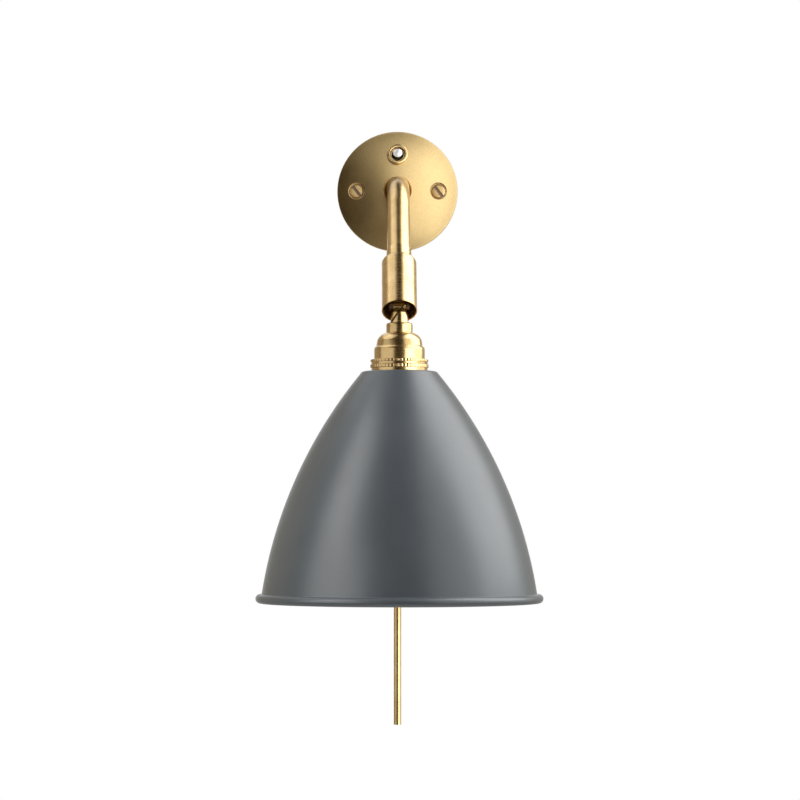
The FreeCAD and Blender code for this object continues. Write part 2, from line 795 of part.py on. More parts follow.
# ---------------------------------------------------------------------------------------
# Collar, swivel and joint housing
# ---------------------------------------------------------------------------------------
def arm_collar():
    """Collar plugged into the arm's end, threaded for the hollow bolt."""
    return keep(turned("arm_collar", JOINT, [
        ("bolt_radius", COLLAR_FOOT),
        ("collar_radius", COLLAR_FOOT),
        ("collar_radius", COLLAR_HEAD),
        ("arm_radius - arm_wall", COLLAR_HEAD),
        ("arm_radius - arm_wall", f"{COLLAR_HEAD} + collar_spigot"),
        ("bolt_radius", f"{COLLAR_HEAD} + collar_spigot"),
    ]))


def swivel_bolt():
    """Hollow bolt on which the housing turns about the arm."""
    under_head = f"({HOUSING_CEILING} - washer_thick)"
    return keep(turned("swivel_bolt", JOINT, [
        ("bolt_bore", f"{under_head} - bolt_head"),
        ("bolt_head_radius", f"{under_head} - bolt_head"),
        ("bolt_head_radius", under_head),
        ("bolt_radius", under_head),
        ("bolt_radius", COLLAR_HEAD),
        ("bolt_bore", COLLAR_HEAD),
    ]))


def friction_washer():
    """Washer between the bolt's head and the housing's ceiling."""
    return keep(tube("friction_washer", JOINT, "washer_radius", "bolt_radius",
                     f"{HOUSING_CEILING} - washer_thick", HOUSING_CEILING))


def joint_housing():
    """Cylinder with a rounded shoulder, a thin open mouth and a running hole on top."""
    return keep(turned("joint_housing", JOINT, [
        ("housing_radius - housing_lip / 2", "0"),
        ("housing_radius", "housing_lip / 2"),
        ("housing_radius", "housing_length - housing_round", "housing_round"),
        ("housing_radius - housing_round", "housing_length"),
        ("bolt_radius + running_play", "housing_length"),
        ("bolt_radius + running_play", HOUSING_CEILING),
        ("housing_bore", HOUSING_CEILING),
        ("housing_bore", "housing_lip"),
        ("housing_bore + housing_lip", "0"),
    ]))


def pivot_fork():
    """Fork in the housing: flange in the bore, round neck and two cheeks round the hinge."""
    piece = turned("pivot_fork", JOINT, [
        ("fork_bore", FORK_ROOT),
        ("fork_radius", FORK_ROOT),
        ("fork_radius", FORK_SEAT),
        ("housing_bore", FORK_SEAT),
        ("housing_bore", f"{FORK_SEAT} + fork_flange"),
        ("fork_bore", f"{FORK_SEAT} + fork_flange"),
    ])
    for side, sign in (("left", -1), ("right", 1)):
        lift = "fork_half_slot" if sign > 0 else "-fork_radius"
        cheek = sketch_in(piece, f"cheek_{side}", "YZ_Plane", lift)
        top = f"({FORK_ROOT} + spare)"
        outline(cheek, [
            ("fork_end", top),
            ("-fork_end", top),
            ("-fork_end", "pivot_depth", "fork_end"),
            ("0", "pivot_depth - fork_end", "fork_end"),
            ("fork_end", "pivot_depth"),
        ])
        pad(piece, f"cheek_pad_{side}", cheek, "fork_radius - fork_half_slot")
    hole = sketch_in(piece, "pin_hole_sketch", "YZ_Plane")
    ring(hole, "pin_radius", "0", "pivot_depth")
    pocket(piece, "pin_hole", hole, "2 * (fork_radius + spare)", middle=True)
    return keep(piece)


def pivot_pin():
    """Hinge pin, pressed through both cheeks."""
    piece = body("pivot_pin", JOINT)
    sketch = sketch_in(piece, "pin_circle", "YZ_Plane")
    ring(sketch, "pin_radius", "0", "pivot_depth")
    pad(piece, "pin_pad", sketch, "2 * (fork_radius + pin_stand)", middle=True)
    return keep(piece)


# ---------------------------------------------------------------------------------------
# Knuckle and lampholder
# ---------------------------------------------------------------------------------------
def knuckle_stem():
    """Round stem with an eye for the pin, a slanting groove and a threaded hollow tail."""
    piece = turned("knuckle_stem", SHADE, [
        ("0", "stem_top"),
        ("stem_tip_radius", "stem_top", "stem_round"),
        ("stem_radius - stem_taper", "stem_top + stem_round"),
        ("stem_radius", NECK_TOP),
        ("tail_radius", NECK_TOP),
        ("tail_radius", f"{NECK_TOP} + tail_length"),
        ("wire_bore", f"{NECK_TOP} + tail_length"),
        ("wire_bore", f"{NECK_TOP} - wire_bore_rise"),
        ("0", f"{NECK_TOP} - wire_bore_rise"),
    ])
    web = sketch_in(piece, "web_sketch", "YZ_Plane")
    outline(web, [("-web_half_depth", "0"), ("web_half_depth", "0"),
                  ("web_half_depth", "stem_top + spare"), ("-web_half_depth", "stem_top + spare")])
    pad(piece, "web_pad", web, "2 * web_half_width", middle=True)
    eye = sketch_in(piece, "eye_section", "XY_Plane")
    outline(eye, [
        (f"-{EYE_HALF}", "0"),
        (f"-{EYE_HALF}", "eye_radius - eye_round", "-eye_round"),
        (f"-{EYE_HALF} + eye_round", "eye_radius"),
        (f"{EYE_HALF} - eye_round", "eye_radius", "-eye_round"),
        (EYE_HALF, "eye_radius - eye_round"),
        (EYE_HALF, "0"),
    ])
    revolve(piece, "eye_turn", eye, "H_Axis")
    hole = sketch_in(piece, "eye_hole_sketch", "YZ_Plane")
    ring(hole, "pin_radius + running_play")
    pocket(piece, "eye_hole", hole, "2 * fork_radius", middle=True)
    groove = sketch_in(piece, "groove_sketch", "XZ_Plane", "-groove_floor")
    half, reach, drop = "groove_width / 2", "stem_length", "(stem_top + stem_length / 2)"
    corners = []
    for along, aside in ((-1, -1), (1, -1), (1, 1), (-1, 1)):
        corners.append((
            f"groove_shift + {aside} * {half} * cos(groove_turn) - {along} * {reach} * sin(groove_turn)",
            f"{drop} + {aside} * {half} * sin(groove_turn) + {along} * {reach} * cos(groove_turn)"))
    outline(groove, corners)
    pocket(piece, "groove_cut", groove, "2 * stem_radius")
    return keep(piece)


def neck_ring():
    """Plain ring between the knuckle and the cap, its upper edge rounded."""
    return keep(turned("neck_ring", SHADE, [
        ("tail_radius", NECK_TOP),
        ("neck_radius - neck_round", NECK_TOP, "neck_round"),
        ("neck_radius", f"{NECK_TOP} + neck_round"),
        ("neck_radius", CAP_TOP),
        ("tail_radius", CAP_TOP),
    ]))


def lampholder_cap():
    """Spun cap: a small dome, a step and a straight skirt, of even wall."""
    dome_end = f"({CAP_TOP} + cap_dome_height)"
    skirt_top = f"({dome_end} + cap_step)"
    shoulder = f"({CAP_TOP} + cap_shoulder_height)"
    return keep(turned("lampholder_cap", SHADE, [
        ("tail_radius", CAP_TOP),
        ("cap_crown", CAP_TOP, "cap_crown_round"),
        ("cap_shoulder", shoulder),
        ("cap_dome_radius", dome_end, "cap_step_round"),
        ("cap_radius", skirt_top),
        ("cap_radius", CAP_END),
        ("cap_radius - cap_wall", CAP_END),
        ("cap_radius - cap_wall", f"{skirt_top} + cap_wall / 2"),
        ("cap_dome_radius - cap_wall", f"{dome_end} + cap_wall / 2"),
        ("cap_shoulder - cap_wall", shoulder, "-(cap_crown_round - cap_wall)"),
        ("cap_crown - cap_wall / 2", f"{CAP_TOP} + cap_wall"),
        ("tail_radius", f"{CAP_TOP} + cap_wall"),
    ]))


def holder_base():
    """Ceramic base that closes the sleeve and carries the contacts."""
    return keep(turned("holder_base", SHADE, [
        ("0", f"{SLEEVE_TOP} - base_height"),
        ("base_radius - base_round", f"{SLEEVE_TOP} - base_height", "base_round"),
        ("base_radius", f"{SLEEVE_TOP} - base_height + base_round"),
        ("base_radius", SLEEVE_TOP),
        ("sleeve_bore", SLEEVE_TOP),
        ("sleeve_bore", SHELL_TOP),
        ("0", SHELL_TOP),
    ]))


def holder_sleeve():
    """Threaded sleeve that the cap, the rings and the shade hang on."""
    return keep(tube("holder_sleeve", SHADE, "sleeve_radius", "sleeve_bore", SLEEVE_TOP, SLEEVE_END))


def screw_shell():
    """Thin cup that takes the bulb's cap, open round the centre contact."""
    inner = "(shell_radius - shell_wall)"
    return keep(turned("screw_shell", SHADE, [
        ("2 * contact_radius", SHELL_TOP),
        ("shell_radius", SHELL_TOP),
        ("shell_radius", f"{SHELL_TOP} + shell_length"),
        (inner, f"{SHELL_TOP} + shell_length"),
        (inner, f"{SHELL_TOP} + shell_wall"),
        ("2 * contact_radius", f"{SHELL_TOP} + shell_wall"),
    ]))


def centre_contact():
    """Domed contact that meets the bulb's tip."""
    return keep(turned("centre_contact", SHADE, [
        ("0", SHELL_TOP),
        ("contact_radius", SHELL_TOP),
        ("contact_radius", f"{SHELL_TOP} + contact_height - contact_round", "contact_round"),
        ("contact_radius - contact_round", f"{SHELL_TOP} + contact_height"),
        ("0", f"{SHELL_TOP} + contact_height"),
    ]))


def knurled_ring(label, top, knurl_radius, knurl, band_radius, band):
    """Ring on the sleeve: a straight-knurled edge over a smooth band."""
    piece = turned(label, SHADE, [
        ("sleeve_radius", top),
        (knurl_radius, top),
        (knurl_radius, f"{top} + {knurl}"),
        (band_radius, f"{top} + {knurl}"),
        (band_radius, f"{top} + {knurl} + {band}"),
        ("sleeve_radius", f"{top} + {knurl} + {band}"),
    ])
    notch = sketch_in(piece, label + "_notch", "XY_Plane", top)
    half = f"({knurl_radius} * sin(180 / knurl_teeth) * knurl_share)"
    outline(notch, [
        (f"{knurl_radius} - knurl_depth", "0"),
        (f"{knurl_radius} + knurl_overshoot", f"-{half}"),
        (f"{knurl_radius} + knurl_overshoot", half),
    ])
    groove = pocket(piece, label + "_groove", notch, knurl, back=True)
    pattern = piece.newObject("PartDesign::PolarPattern", label + "_knurl")
    pattern.Originals = [groove]
    pattern.Axis = (notch, ["N_Axis"])
    pattern.Angle = 360
    bind(pattern, Occurrences="knurl_teeth")
    piece.Tip = pattern
    DOC.recompute()
    return keep(piece)


def shade_ring_inner():
    """Ring that clamps the shade from inside."""
    low = f"({SHADE_TOP} + shade_wall)"
    return keep(turned("shade_ring_inner", SHADE, [
        ("sleeve_radius", low),
        ("inner_ring_radius", low),
        ("inner_ring_radius", f"{low} + inner_ring - inner_ring_round", "inner_ring_round"),
        ("inner_ring_radius - inner_ring_round", f"{low} + inner_ring"),
        ("sleeve_radius", f"{low} + inner_ring"),
    ]))


def bell_shade():
    """Spun bell of one long arc, with a rounded top corner and an outward rolled rim."""
    roll_centre = "(rim_radius - rim_roll)"
    foot = "(rim_radius - foot_inset)"
    roll_top = f"({SHADE_END} - 2 * rim_roll)"
    shoulder = f"({SHADE_TOP} + shade_shoulder_drop)"
    return keep(turned("bell_shade", SHADE, [
        ("sleeve_radius + shade_play", SHADE_TOP),
        ("shade_corner", SHADE_TOP, "shade_corner_round"),
        ("shade_shoulder", shoulder, "shade_sweep"),
        (foot, roll_top),
        (roll_centre, roll_top, "rim_roll"),
        ("rim_radius", f"{SHADE_END} - rim_roll", "rim_roll"),
        (roll_centre, SHADE_END),
        (f"{foot} - shade_wall", f"{SHADE_END} - rim_roll / 2"),
        (f"{foot} - shade_wall", roll_top, "-(shade_sweep - shade_wall)"),
        ("shade_shoulder - shade_wall", f"{shoulder} + shade_wall / 2",
         "-(shade_corner_round - shade_wall)"),
        ("shade_corner", f"{SHADE_TOP} + shade_wall"),
        ("sleeve_radius + shade_play", f"{SHADE_TOP} + shade_wall"),
    ]))


def bulb_cap():
    """Metal screw cap of the bulb with its contact tip."""
    return keep(turned("bulb_cap", SHADE, [
        ("0", BULB_TIP),
        ("bulb_tip_radius", BULB_TIP),
        ("bulb_cap_radius", f"{BULB_TIP} + bulb_tip"),
        ("bulb_cap_radius", BULB_SEAT),
        ("0", BULB_SEAT),
    ]))


def bulb_glass():
    """Round frosted bulb on its cap, a thin shell open only inside the cap."""
    centre = f"({BULB_SEAT} + bulb_length - bulb_radius)"
    bottom = f"({BULB_SEAT} + bulb_length)"
    inner, inner_waist = "(bulb_radius - bulb_skin)", "(bulb_waist_radius - bulb_skin)"
    waist = f"({centre} - sqrt(bulb_radius^2 - bulb_waist_radius^2))"
    skin_waist = f"({centre} - sqrt({inner}^2 - {inner_waist}^2))"
    return keep(turned("bulb_glass", SHADE, [
        ("bulb_neck_radius - bulb_skin", BULB_SEAT),
        ("bulb_neck_radius", BULB_SEAT),
        ("bulb_waist_radius", waist, "axis"),
        ("bulb_radius", centre, "axis"),
        ("0", bottom),
        ("0", f"{bottom} - bulb_skin", "-axis"),
        (inner, centre, "-axis"),
        (inner_waist, skin_waist),
    ]))


def build():
    """Make every piece, from the wall outwards."""
    fill_sheet()
    wall_plate()
    plate_screws()
    arm_bush()
    hex_nut("arm_lock_nut", WALL, "nut_flats", "arm_radius", f"{BUSH_BACK} - nut_height",
            "nut_height")
    arm_tube()
    conduit_tube()
    switch_ring_nut()
    switch_barrel()
    switch_body()
    switch_tabs()
    switch_button()
    terminal_block()
    terminal_screws()
    earth_screw()
    arm_collar()
    swivel_bolt()
    friction_washer()
    joint_housing()
    pivot_fork()
    pivot_pin()
    knuckle_stem()
    neck_ring()
    lampholder_cap()
    hex_nut("stem_nut", SHADE, "stem_nut_flats", "tail_radius", f"{CAP_TOP} + cap_wall",
            "stem_nut_height")
    holder_base()
    holder_sleeve()
    screw_shell()
    centre_contact()
    knurled_ring("holder_collar", CAP_END, "collar_knurl_radius", "collar_knurl",
                 "collar_band_radius", "collar_band")
    knurled_ring("shade_ring_upper", RING_TOP, "ring_knurl_radius", "ring_knurl",
                 "ring_band_radius", "ring_band")
    shade_ring_inner()
    bell_shade()
    bulb_cap()
    bulb_glass()
    DOC.recompute()


def check():
    """Stop if any object failed or any piece is not a valid solid."""
    for item in DOC.Objects:
        if {"Invalid", "Error"} & set(item.State):
            raise RuntimeError(f"{item.Label} is in state {item.State}")
    for piece in PARTS:
        if piece.Shape.isNull() or not piece.Shape.isValid() or not piece.Shape.Solids:
            raise RuntimeError(f"{piece.Label} has no valid solid")


def export():
    """Write each piece to a file named after it."""
    os.makedirs("parts", exist_ok=True)
    for piece in PARTS:
        piece.Shape.exportStep(f"parts/{piece.Label}.step")
        box = piece.Shape.BoundBox
        print(f"{piece.Label:18s} solids {len(piece.Shape.Solids)} volume {piece.Shape.Volume:10.1f}"
              f"  x {box.XMin:7.1f} {box.XMax:7.1f}  y {box.YMin:7.1f} {box.YMax:7.1f}"
              f"  z {box.ZMin:7.1f} {box.ZMax:7.1f}")


build()
check()
export()
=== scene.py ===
"""Looks of a wall light: brass plate, bent arm, open knuckle joint, lampholder and bell shade.

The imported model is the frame. Every piece that shows is turned, swept or cut here with more
detail than its solid and stands where that solid stands; what hides behind the plate or inside
the lampholder keeps its solid and gets its finish. Sizes are in millimetres, places in metres.
"""

import json
import logging
import math
from dataclasses import dataclass
from enum import Enum

import bmesh
import bpy
from mathutils import Matrix, Vector


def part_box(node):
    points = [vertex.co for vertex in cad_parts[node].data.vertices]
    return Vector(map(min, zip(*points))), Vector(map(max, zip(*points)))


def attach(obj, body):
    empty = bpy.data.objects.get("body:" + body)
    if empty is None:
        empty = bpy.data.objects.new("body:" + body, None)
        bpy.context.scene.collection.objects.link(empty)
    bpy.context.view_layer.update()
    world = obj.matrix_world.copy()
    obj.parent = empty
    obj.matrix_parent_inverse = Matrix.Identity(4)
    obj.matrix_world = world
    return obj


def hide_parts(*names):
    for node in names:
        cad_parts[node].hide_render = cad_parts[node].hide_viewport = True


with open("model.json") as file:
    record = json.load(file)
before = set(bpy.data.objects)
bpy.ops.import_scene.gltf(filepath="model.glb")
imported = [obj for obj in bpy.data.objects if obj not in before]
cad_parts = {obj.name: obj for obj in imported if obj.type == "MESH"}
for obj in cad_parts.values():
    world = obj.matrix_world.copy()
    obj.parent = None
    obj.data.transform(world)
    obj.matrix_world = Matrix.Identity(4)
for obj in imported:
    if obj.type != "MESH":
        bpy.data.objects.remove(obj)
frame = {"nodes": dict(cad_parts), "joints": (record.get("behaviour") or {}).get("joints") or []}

LOG = logging.getLogger("wall_light")
MM = 0.001
PIN_DEPTH = 4.2  # how far inside the housing's mouth the hinge pin stands
SWITCH_RISE = 21.3  # height of the switch over the plate's centre
CLOUD = 9.0  # size in millimetres of the dull patches in lacquered metal
FULL_TURN = 2 * math.pi


class Body(Enum):
    """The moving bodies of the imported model."""

    BRACKET = "bracket"
    SWIVEL = "swivel"
    HEAD = "shade_head"
    BUTTON = "button"


class Slot(Enum):
    """The record's material slots."""

    SATIN_BRASS = "satin_brass"
    POLISHED_BRASS = "polished_brass"
    LACQUER = "shade_lacquer"
    CHROME = "chrome"
    MOULDING = "black_moulding"
    PORCELAIN = "porcelain"
    STEEL = "steel"
    GLASS = "bulb_glass"
    BULB_METAL = "bulb_metal"


# ---------------------------------------------------------------------------------------
# Seats: where the axis of a sub-assembly stands
# ---------------------------------------------------------------------------------------
@dataclass(frozen=True)
class Seat:
    """A local frame whose Z is the axis of turned pieces.

    Attributes:
        origin: Its origin in metres.
        turn: Its turn about X in degrees.
    """

    origin: tuple[float, float, float]
    turn: float

    def matrix(self) -> Matrix:
        """Return the map from local millimetres to metres in the model's frame."""
        place = Matrix.Translation(Vector(self.origin))
        return place @ Matrix.Rotation(math.radians(self.turn), 4, "X") @ Matrix.Scale(MM, 4)

    def shifted(self, x: float, y: float, z: float = 0.0) -> "Seat":
        """Return a parallel seat at a point of this one, in local millimetres."""
        return Seat(tuple(self.matrix() @ Vector((x, y, z))), self.turn)


def joint_named(name: str) -> dict:
    """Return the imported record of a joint."""
    return next(joint for joint in frame["joints"] if joint["name"] == name)


# ---------------------------------------------------------------------------------------
# Meshes from bmesh operators
# ---------------------------------------------------------------------------------------
class Section:
    """Half section of a turned piece: a wire in the XZ plane, radius along X, axis along Z."""

    def __init__(self, radius: float, height: float) -> None:
        """Start the wire at a point."""
        self.wire = bmesh.new()
        self.first = self.wire.verts.new((radius, 0, height))
        self.last = self.first
        self.rounds: list[tuple[bmesh.types.BMVert, float]] = []

    def line(self, radius: float, height: float, ease: float = 0.0) -> "Section":
        """Draw a straight edge to a corner.

        Args:
            radius: The corner's distance from the axis.
            height: The corner's place along the axis.
            ease: How far from the corner its rounding starts; 0 leaves it sharp.

        Returns:
            This section.
        """
        corner = self.wire.verts.new((radius, 0, height))
        self.wire.edges.new((self.last, corner))
        if ease:
            self.rounds.append((corner, ease))
        self.last = corner
        return self

    def arc(self, radius: float, height: float, bend: float, steps: int = 12) -> "Section":
        """Sweep an arc to a point.

        Args:
            radius: The end's distance from the axis.
            height: The end's place along the axis.
            bend: The arc's radius; negative bends it clockwise, with X to the right and Z up.
            steps: The number of edges.

        Returns:
            This section.
        """
        start, end = self.last.co.copy(), Vector((radius, 0, height))
        half = (end - start) / 2
        reach = math.sqrt(max(bend * bend - half.length_squared, 0.0))
        side = Vector((-half.z, 0, half.x)).normalized() * math.copysign(reach, bend)
        angle = math.copysign(2 * math.asin(min(half.length / abs(bend), 1.0)), bend)
        swept = bmesh.ops.spin(self.wire, geom=[self.last], cent=start + half + side,
                               axis=(0, -1, 0), angle=angle, steps=steps)
        self.last = next(item for item in swept["geom_last"] if isinstance(item, bmesh.types.BMVert))
        return self

    def close(self) -> "Section":
        """Join the wire's end to its start."""
        self.wire.edges.new((self.last, self.first))
        return self

    def turned(self, seat: Seat, steps: int = 96, segments: int = 4) -> bmesh.types.BMesh:
        """Round the marked corners and turn the wire about the seat's axis.

        Args:
            seat: The seat of the piece.
            steps: The number of facets around the axis.
            segments: The number of edges in a rounded corner.

        Returns:
            The closed mesh, in metres in the model's frame.
        """
        for corner, ease in self.rounds:
            bmesh.ops.bevel(self.wire, geom=[corner], offset=ease, offset_type="OFFSET",
                            segments=segments, profile=0.5, affect="VERTICES", material=-1)
        bmesh.ops.spin(self.wire, geom=self.wire.verts[:] + self.wire.edges[:], cent=(0, 0, 0),
                       axis=(0, 0, 1), angle=FULL_TURN, steps=steps, use_merge=True)
        bmesh.ops.remove_doubles(self.wire, verts=self.wire.verts, dist=0.0005)
        bmesh.ops.recalc_face_normals(self.wire, faces=self.wire.faces)
        bmesh.ops.transform(self.wire, matrix=seat.matrix(), verts=self.wire.verts)
        return self.wire


def tube_section(outer: float, inner: float, low: float, high: float, ease: float = 0.15) -> Section:
    """Return the closed half section of a plain tube with eased edges."""
    section = Section(inner, low).line(outer, low, ease).line(outer, high, ease)
    return section.line(inner, high).close()


def block(size: tuple[float, float, float], centre: tuple[float, float, float],
          seat: Seat, spin: float = 0.0) -> bmesh.types.BMesh:
    """Return a box, used to cut slots and channels.

    Args:
        size: Its lengths in millimetres.
        centre: Its centre in the seat's frame.
        seat: The seat it stands in.
        spin: Its turn about the seat's Z in degrees.

    Returns:
        The box, in metres in the model's frame.
    """
    mesh = bmesh.new()
    bmesh.ops.create_cube(mesh, size=1.0)
    bmesh.ops.scale(mesh, vec=size, verts=mesh.verts)
    bmesh.ops.rotate(mesh, cent=(0, 0, 0), verts=mesh.verts,
                     matrix=Matrix.Rotation(math.radians(spin), 3, "Z"))
    bmesh.ops.translate(mesh, vec=centre, verts=mesh.verts)
    bmesh.ops.transform(mesh, matrix=seat.matrix(), verts=mesh.verts)
    return mesh


def as_object(name: str, mesh: bmesh.types.BMesh) -> bpy.types.Object:
    """Turn a bmesh into an object at the origin."""
    data = bpy.data.meshes.new(name)
    mesh.to_mesh(data)
    mesh.free()
    made = bpy.data.objects.new(name, data)
    bpy.context.scene.collection.objects.link(made)
    return made


def carved(base: bpy.types.Object, tools: list[bmesh.types.BMesh | bpy.types.Object],
           operation: str) -> bpy.types.Object:
    """Cut tools from a piece, fuse them to it or keep what they share, and apply the result.

    Args:
        base: The piece.
        tools: Closed meshes or objects in the model's frame, used up here.
        operation: DIFFERENCE, UNION or INTERSECT.

    Returns:
        The piece, with its new mesh.
    """
    helpers = [tool if isinstance(tool, bpy.types.Object) else as_object(f"{base.name}_tool", tool)
               for tool in tools]
    for helper in helpers:
        step = base.modifiers.new(helper.name, "BOOLEAN")
        step.operation = operation
        step.object = helper
        step.solver = "EXACT"
    baked = bpy.data.meshes.new_from_object(base.evaluated_get(bpy.context.evaluated_depsgraph_get()))
    base.modifiers.clear()
    base.data = baked
    for helper in helpers:
        bpy.data.objects.remove(helper, do_unlink=True)
    return base


def shade(piece: bpy.types.Object, crease: float = 35.0) -> bpy.types.Object:
    """Smooth a piece up to a crease angle in degrees, flat faces kept flat."""
    piece.data.shade_smooth()
    piece.data.set_sharp_from_angle(angle=math.radians(crease))
    even = piece.modifiers.new("even_normals", "WEIGHTED_NORMAL")
    even.keep_sharp = True
    return piece


# ---------------------------------------------------------------------------------------
# Finishes
# ---------------------------------------------------------------------------------------
def linear(code: str) -> tuple[float, float, float, float]:
    """Turn an sRGB hex colour such as "c8a060" into linear red, green, blue and alpha."""
    channels = [int(code[place:place + 2], 16) / 255 for place in (0, 2, 4)]
    return (*[c / 12.92 if c <= 0.04045 else ((c + 0.055) / 1.055) ** 2.4 for c in channels], 1.0)


def add(tree: bpy.types.NodeTree, kind: str, inputs: dict | None = None, **settings: object):
    """Add a node with its settings, and fill or link its inputs.

    Args:
        tree: The node tree.
        kind: The node's type name.
        inputs: Socket name or number to a value or to another node's output.
        **settings: Properties of the node.

    Returns:
        The new node.
    """
    made = tree.nodes.new(kind)
    for name, setting in settings.items():
        setattr(made, name, setting)
    for name, source in (inputs or {}).items():
        if isinstance(source, bpy.types.NodeSocket):
            tree.links.new(source, made.inputs[name])
        else:
            made.inputs[name].default_value = source
    return made


def ramp(tree: bpy.types.NodeTree, factor: bpy.types.NodeSocket,
         stops: list[tuple[float, str]]) -> bpy.types.NodeSocket:
    """Map a factor to colours given as place and hex code."""
    made = add(tree, "ShaderNodeValToRGB", {"Fac": factor})
    row = made.color_ramp.elements
    for index, (place, code) in enumerate(stops):
        stop = row[index] if index < 2 else row.new(place)
        stop.position = place
        stop.color = linear(code)
    return made.outputs["Color"]


@dataclass(frozen=True)
class Pattern:
    """Coordinates of a finish in the local millimetres of a seat."""

    tree: bpy.types.NodeTree
    seat: Seat

    def point(self) -> bpy.types.NodeSocket:
        """Return the local position in millimetres."""
        where = add(self.tree, "ShaderNodeTexCoord").outputs["Object"]
        turn = (math.radians(self.seat.turn), 0.0, 0.0)
        return add(self.tree, "ShaderNodeMapping",
                   {"Vector": where, "Location": self.seat.origin, "Rotation": turn,
                    "Scale": (MM, MM, MM)}, vector_type="TEXTURE").outputs["Vector"]

    def along_section(self, point: bpy.types.NodeSocket) -> bpy.types.NodeSocket:
        """Return radius plus height, which is even round the axis, as lathe marks are."""
        split = add(self.tree, "ShaderNodeSeparateXYZ", {"Vector": point})
        flat = add(self.tree, "ShaderNodeCombineXYZ",
                   {"X": split.outputs["X"], "Y": split.outputs["Y"]}).outputs["Vector"]
        radius = add(self.tree, "ShaderNodeVectorMath", {0: flat}, operation="LENGTH").outputs["Value"]
        return add(self.tree, "ShaderNodeMath", {0: radius, 1: split.outputs["Z"]},
                   operation="ADD").outputs["Value"]

    def rings(self, place: bpy.types.NodeSocket, spacing: float) -> bpy.types.NodeSocket:
        """Return noise along one coordinate, in lines about the spacing apart."""
        return add(self.tree, "ShaderNodeTexNoise",
                   {"W": place, "Scale": 1 / spacing, "Detail": 3.0}, noise_dimensions="1D").outputs["Fac"]

    def streaks(self, point: bpy.types.NodeSocket, width: float, length: float) -> bpy.types.NodeSocket:
        """Return noise in lines along the seat's axis, of a width and length in millimetres."""
        drawn = add(self.tree, "ShaderNodeMapping",
                    {"Vector": point, "Scale": (1 / width, 1 / width, 1 / length)}).outputs["Vector"]
        return add(self.tree, "ShaderNodeTexNoise",
                   {"Vector": drawn, "Scale": 1.0, "Detail": 3.0}).outputs["Fac"]

    def grain(self, point: bpy.types.NodeSocket, size: float, detail: float = 3.0) -> bpy.types.NodeSocket:
        """Return noise in three dimensions whose lumps are about the size in millimetres."""
        return add(self.tree, "ShaderNodeTexNoise",
                   {"Vector": point, "Scale": 1 / size, "Detail": detail}).outputs["Fac"]

    def spread(self, factor: bpy.types.NodeSocket, low: float, high: float) -> bpy.types.NodeSocket:
        """Stretch the middle of a noise to a range of values."""
        return add(self.tree, "ShaderNodeMapRange",
                   {"Value": factor, "From Min": 0.3, "From Max": 0.7, "To Min": low,
                    "To Max": high}).outputs["Result"]

    def bump(self, height: bpy.types.NodeSocket, depth: float, strength: float,
             under: bpy.types.NodeSocket | None = None) -> bpy.types.NodeSocket:
        """Return a normal with relief of a depth in millimetres, over an earlier normal if given."""
        inputs = {"Height": height, "Distance": depth * MM, "Strength": strength}
        if under is not None:
            inputs["Normal"] = under
        return add(self.tree, "ShaderNodeBump", inputs).outputs["Normal"]


def started(name: str) -> tuple[bpy.types.Material, bpy.types.NodeTree, bpy.types.Node]:
    """Return a new material with its tree and its empty principled shader."""
    made = bpy.data.materials.new(name)
    made.use_nodes = True
    made.node_tree.nodes.clear()
    shader = add(made.node_tree, "ShaderNodeBsdfPrincipled")
    add(made.node_tree, "ShaderNodeOutputMaterial", {"Surface": shader.outputs["BSDF"]})
    return made, made.node_tree, shader


def lacquered(shader: bpy.types.Node, weight: float, rough: float) -> None:
    """Lay clear lacquer over metal, which whitens its highlights."""
    shader.inputs["Coat Weight"].default_value = weight
    shader.inputs["Coat Roughness"].default_value = rough
    shader.inputs["Coat IOR"].default_value = 2.1


def link(tree: bpy.types.NodeTree, shader: bpy.types.Node, **inputs: bpy.types.NodeSocket) -> None:
    """Link outputs to the shader's sockets, an underscore standing for a space."""
    for name, source in inputs.items():
        tree.links.new(source, shader.inputs[name.replace("_", " ")])


@dataclass(frozen=True)
class MarkedMetal:
    """Lacquered metal whose fine tool marks all run one way.

    Attributes:
        name: What the material is.
        light: Hex colour of the clean metal.
        dull: Hex colour where its lacquer has dulled.
        rough: Lowest and highest roughness.
        relief: Depth of the marks in millimetres.
        lacquer: Weight of the clear lacquer.
    """

    name: str
    light: str
    dull: str
    rough: tuple[float, float]
    relief: float = 0.004
    lacquer: float = 0.6

    def marks(self, pattern: Pattern, point: bpy.types.NodeSocket) -> tuple[bpy.types.NodeSocket, float]:
        """Return the marks' noise and the strength of their relief."""
        raise NotImplementedError

    def made(self, seat: Seat) -> bpy.types.Material:
        """Return the finish for pieces on a seat."""
        material, tree, shader = started(self.name)
        pattern = Pattern(tree, seat)
        point = pattern.point()
        marks, strength = self.marks(pattern, point)
        shader.inputs["Metallic"].default_value = 1.0
        lacquered(shader, self.lacquer, self.rough[0])
        link(tree, shader,
             Base_Color=ramp(tree, pattern.grain(point, CLOUD), [(0.36, self.dull), (0.62, self.light)]),
             Roughness=pattern.spread(marks, *self.rough),
             Normal=pattern.bump(marks, self.relief, strength))
        return material


@dataclass(frozen=True)
class TurnedMetal(MarkedMetal):
    """Metal turned or spun on a lathe and polished: fine rings round the axis.

    Attributes:
        spacing: Distance between lathe marks in millimetres, drawn as coarse as shows.
    """

    spacing: float = 0.35

    def marks(self, pattern: Pattern, point: bpy.types.NodeSocket) -> tuple[bpy.types.NodeSocket, float]:
        """Return rings round the seat's axis."""
        return pattern.rings(pattern.along_section(point), self.spacing), 0.6


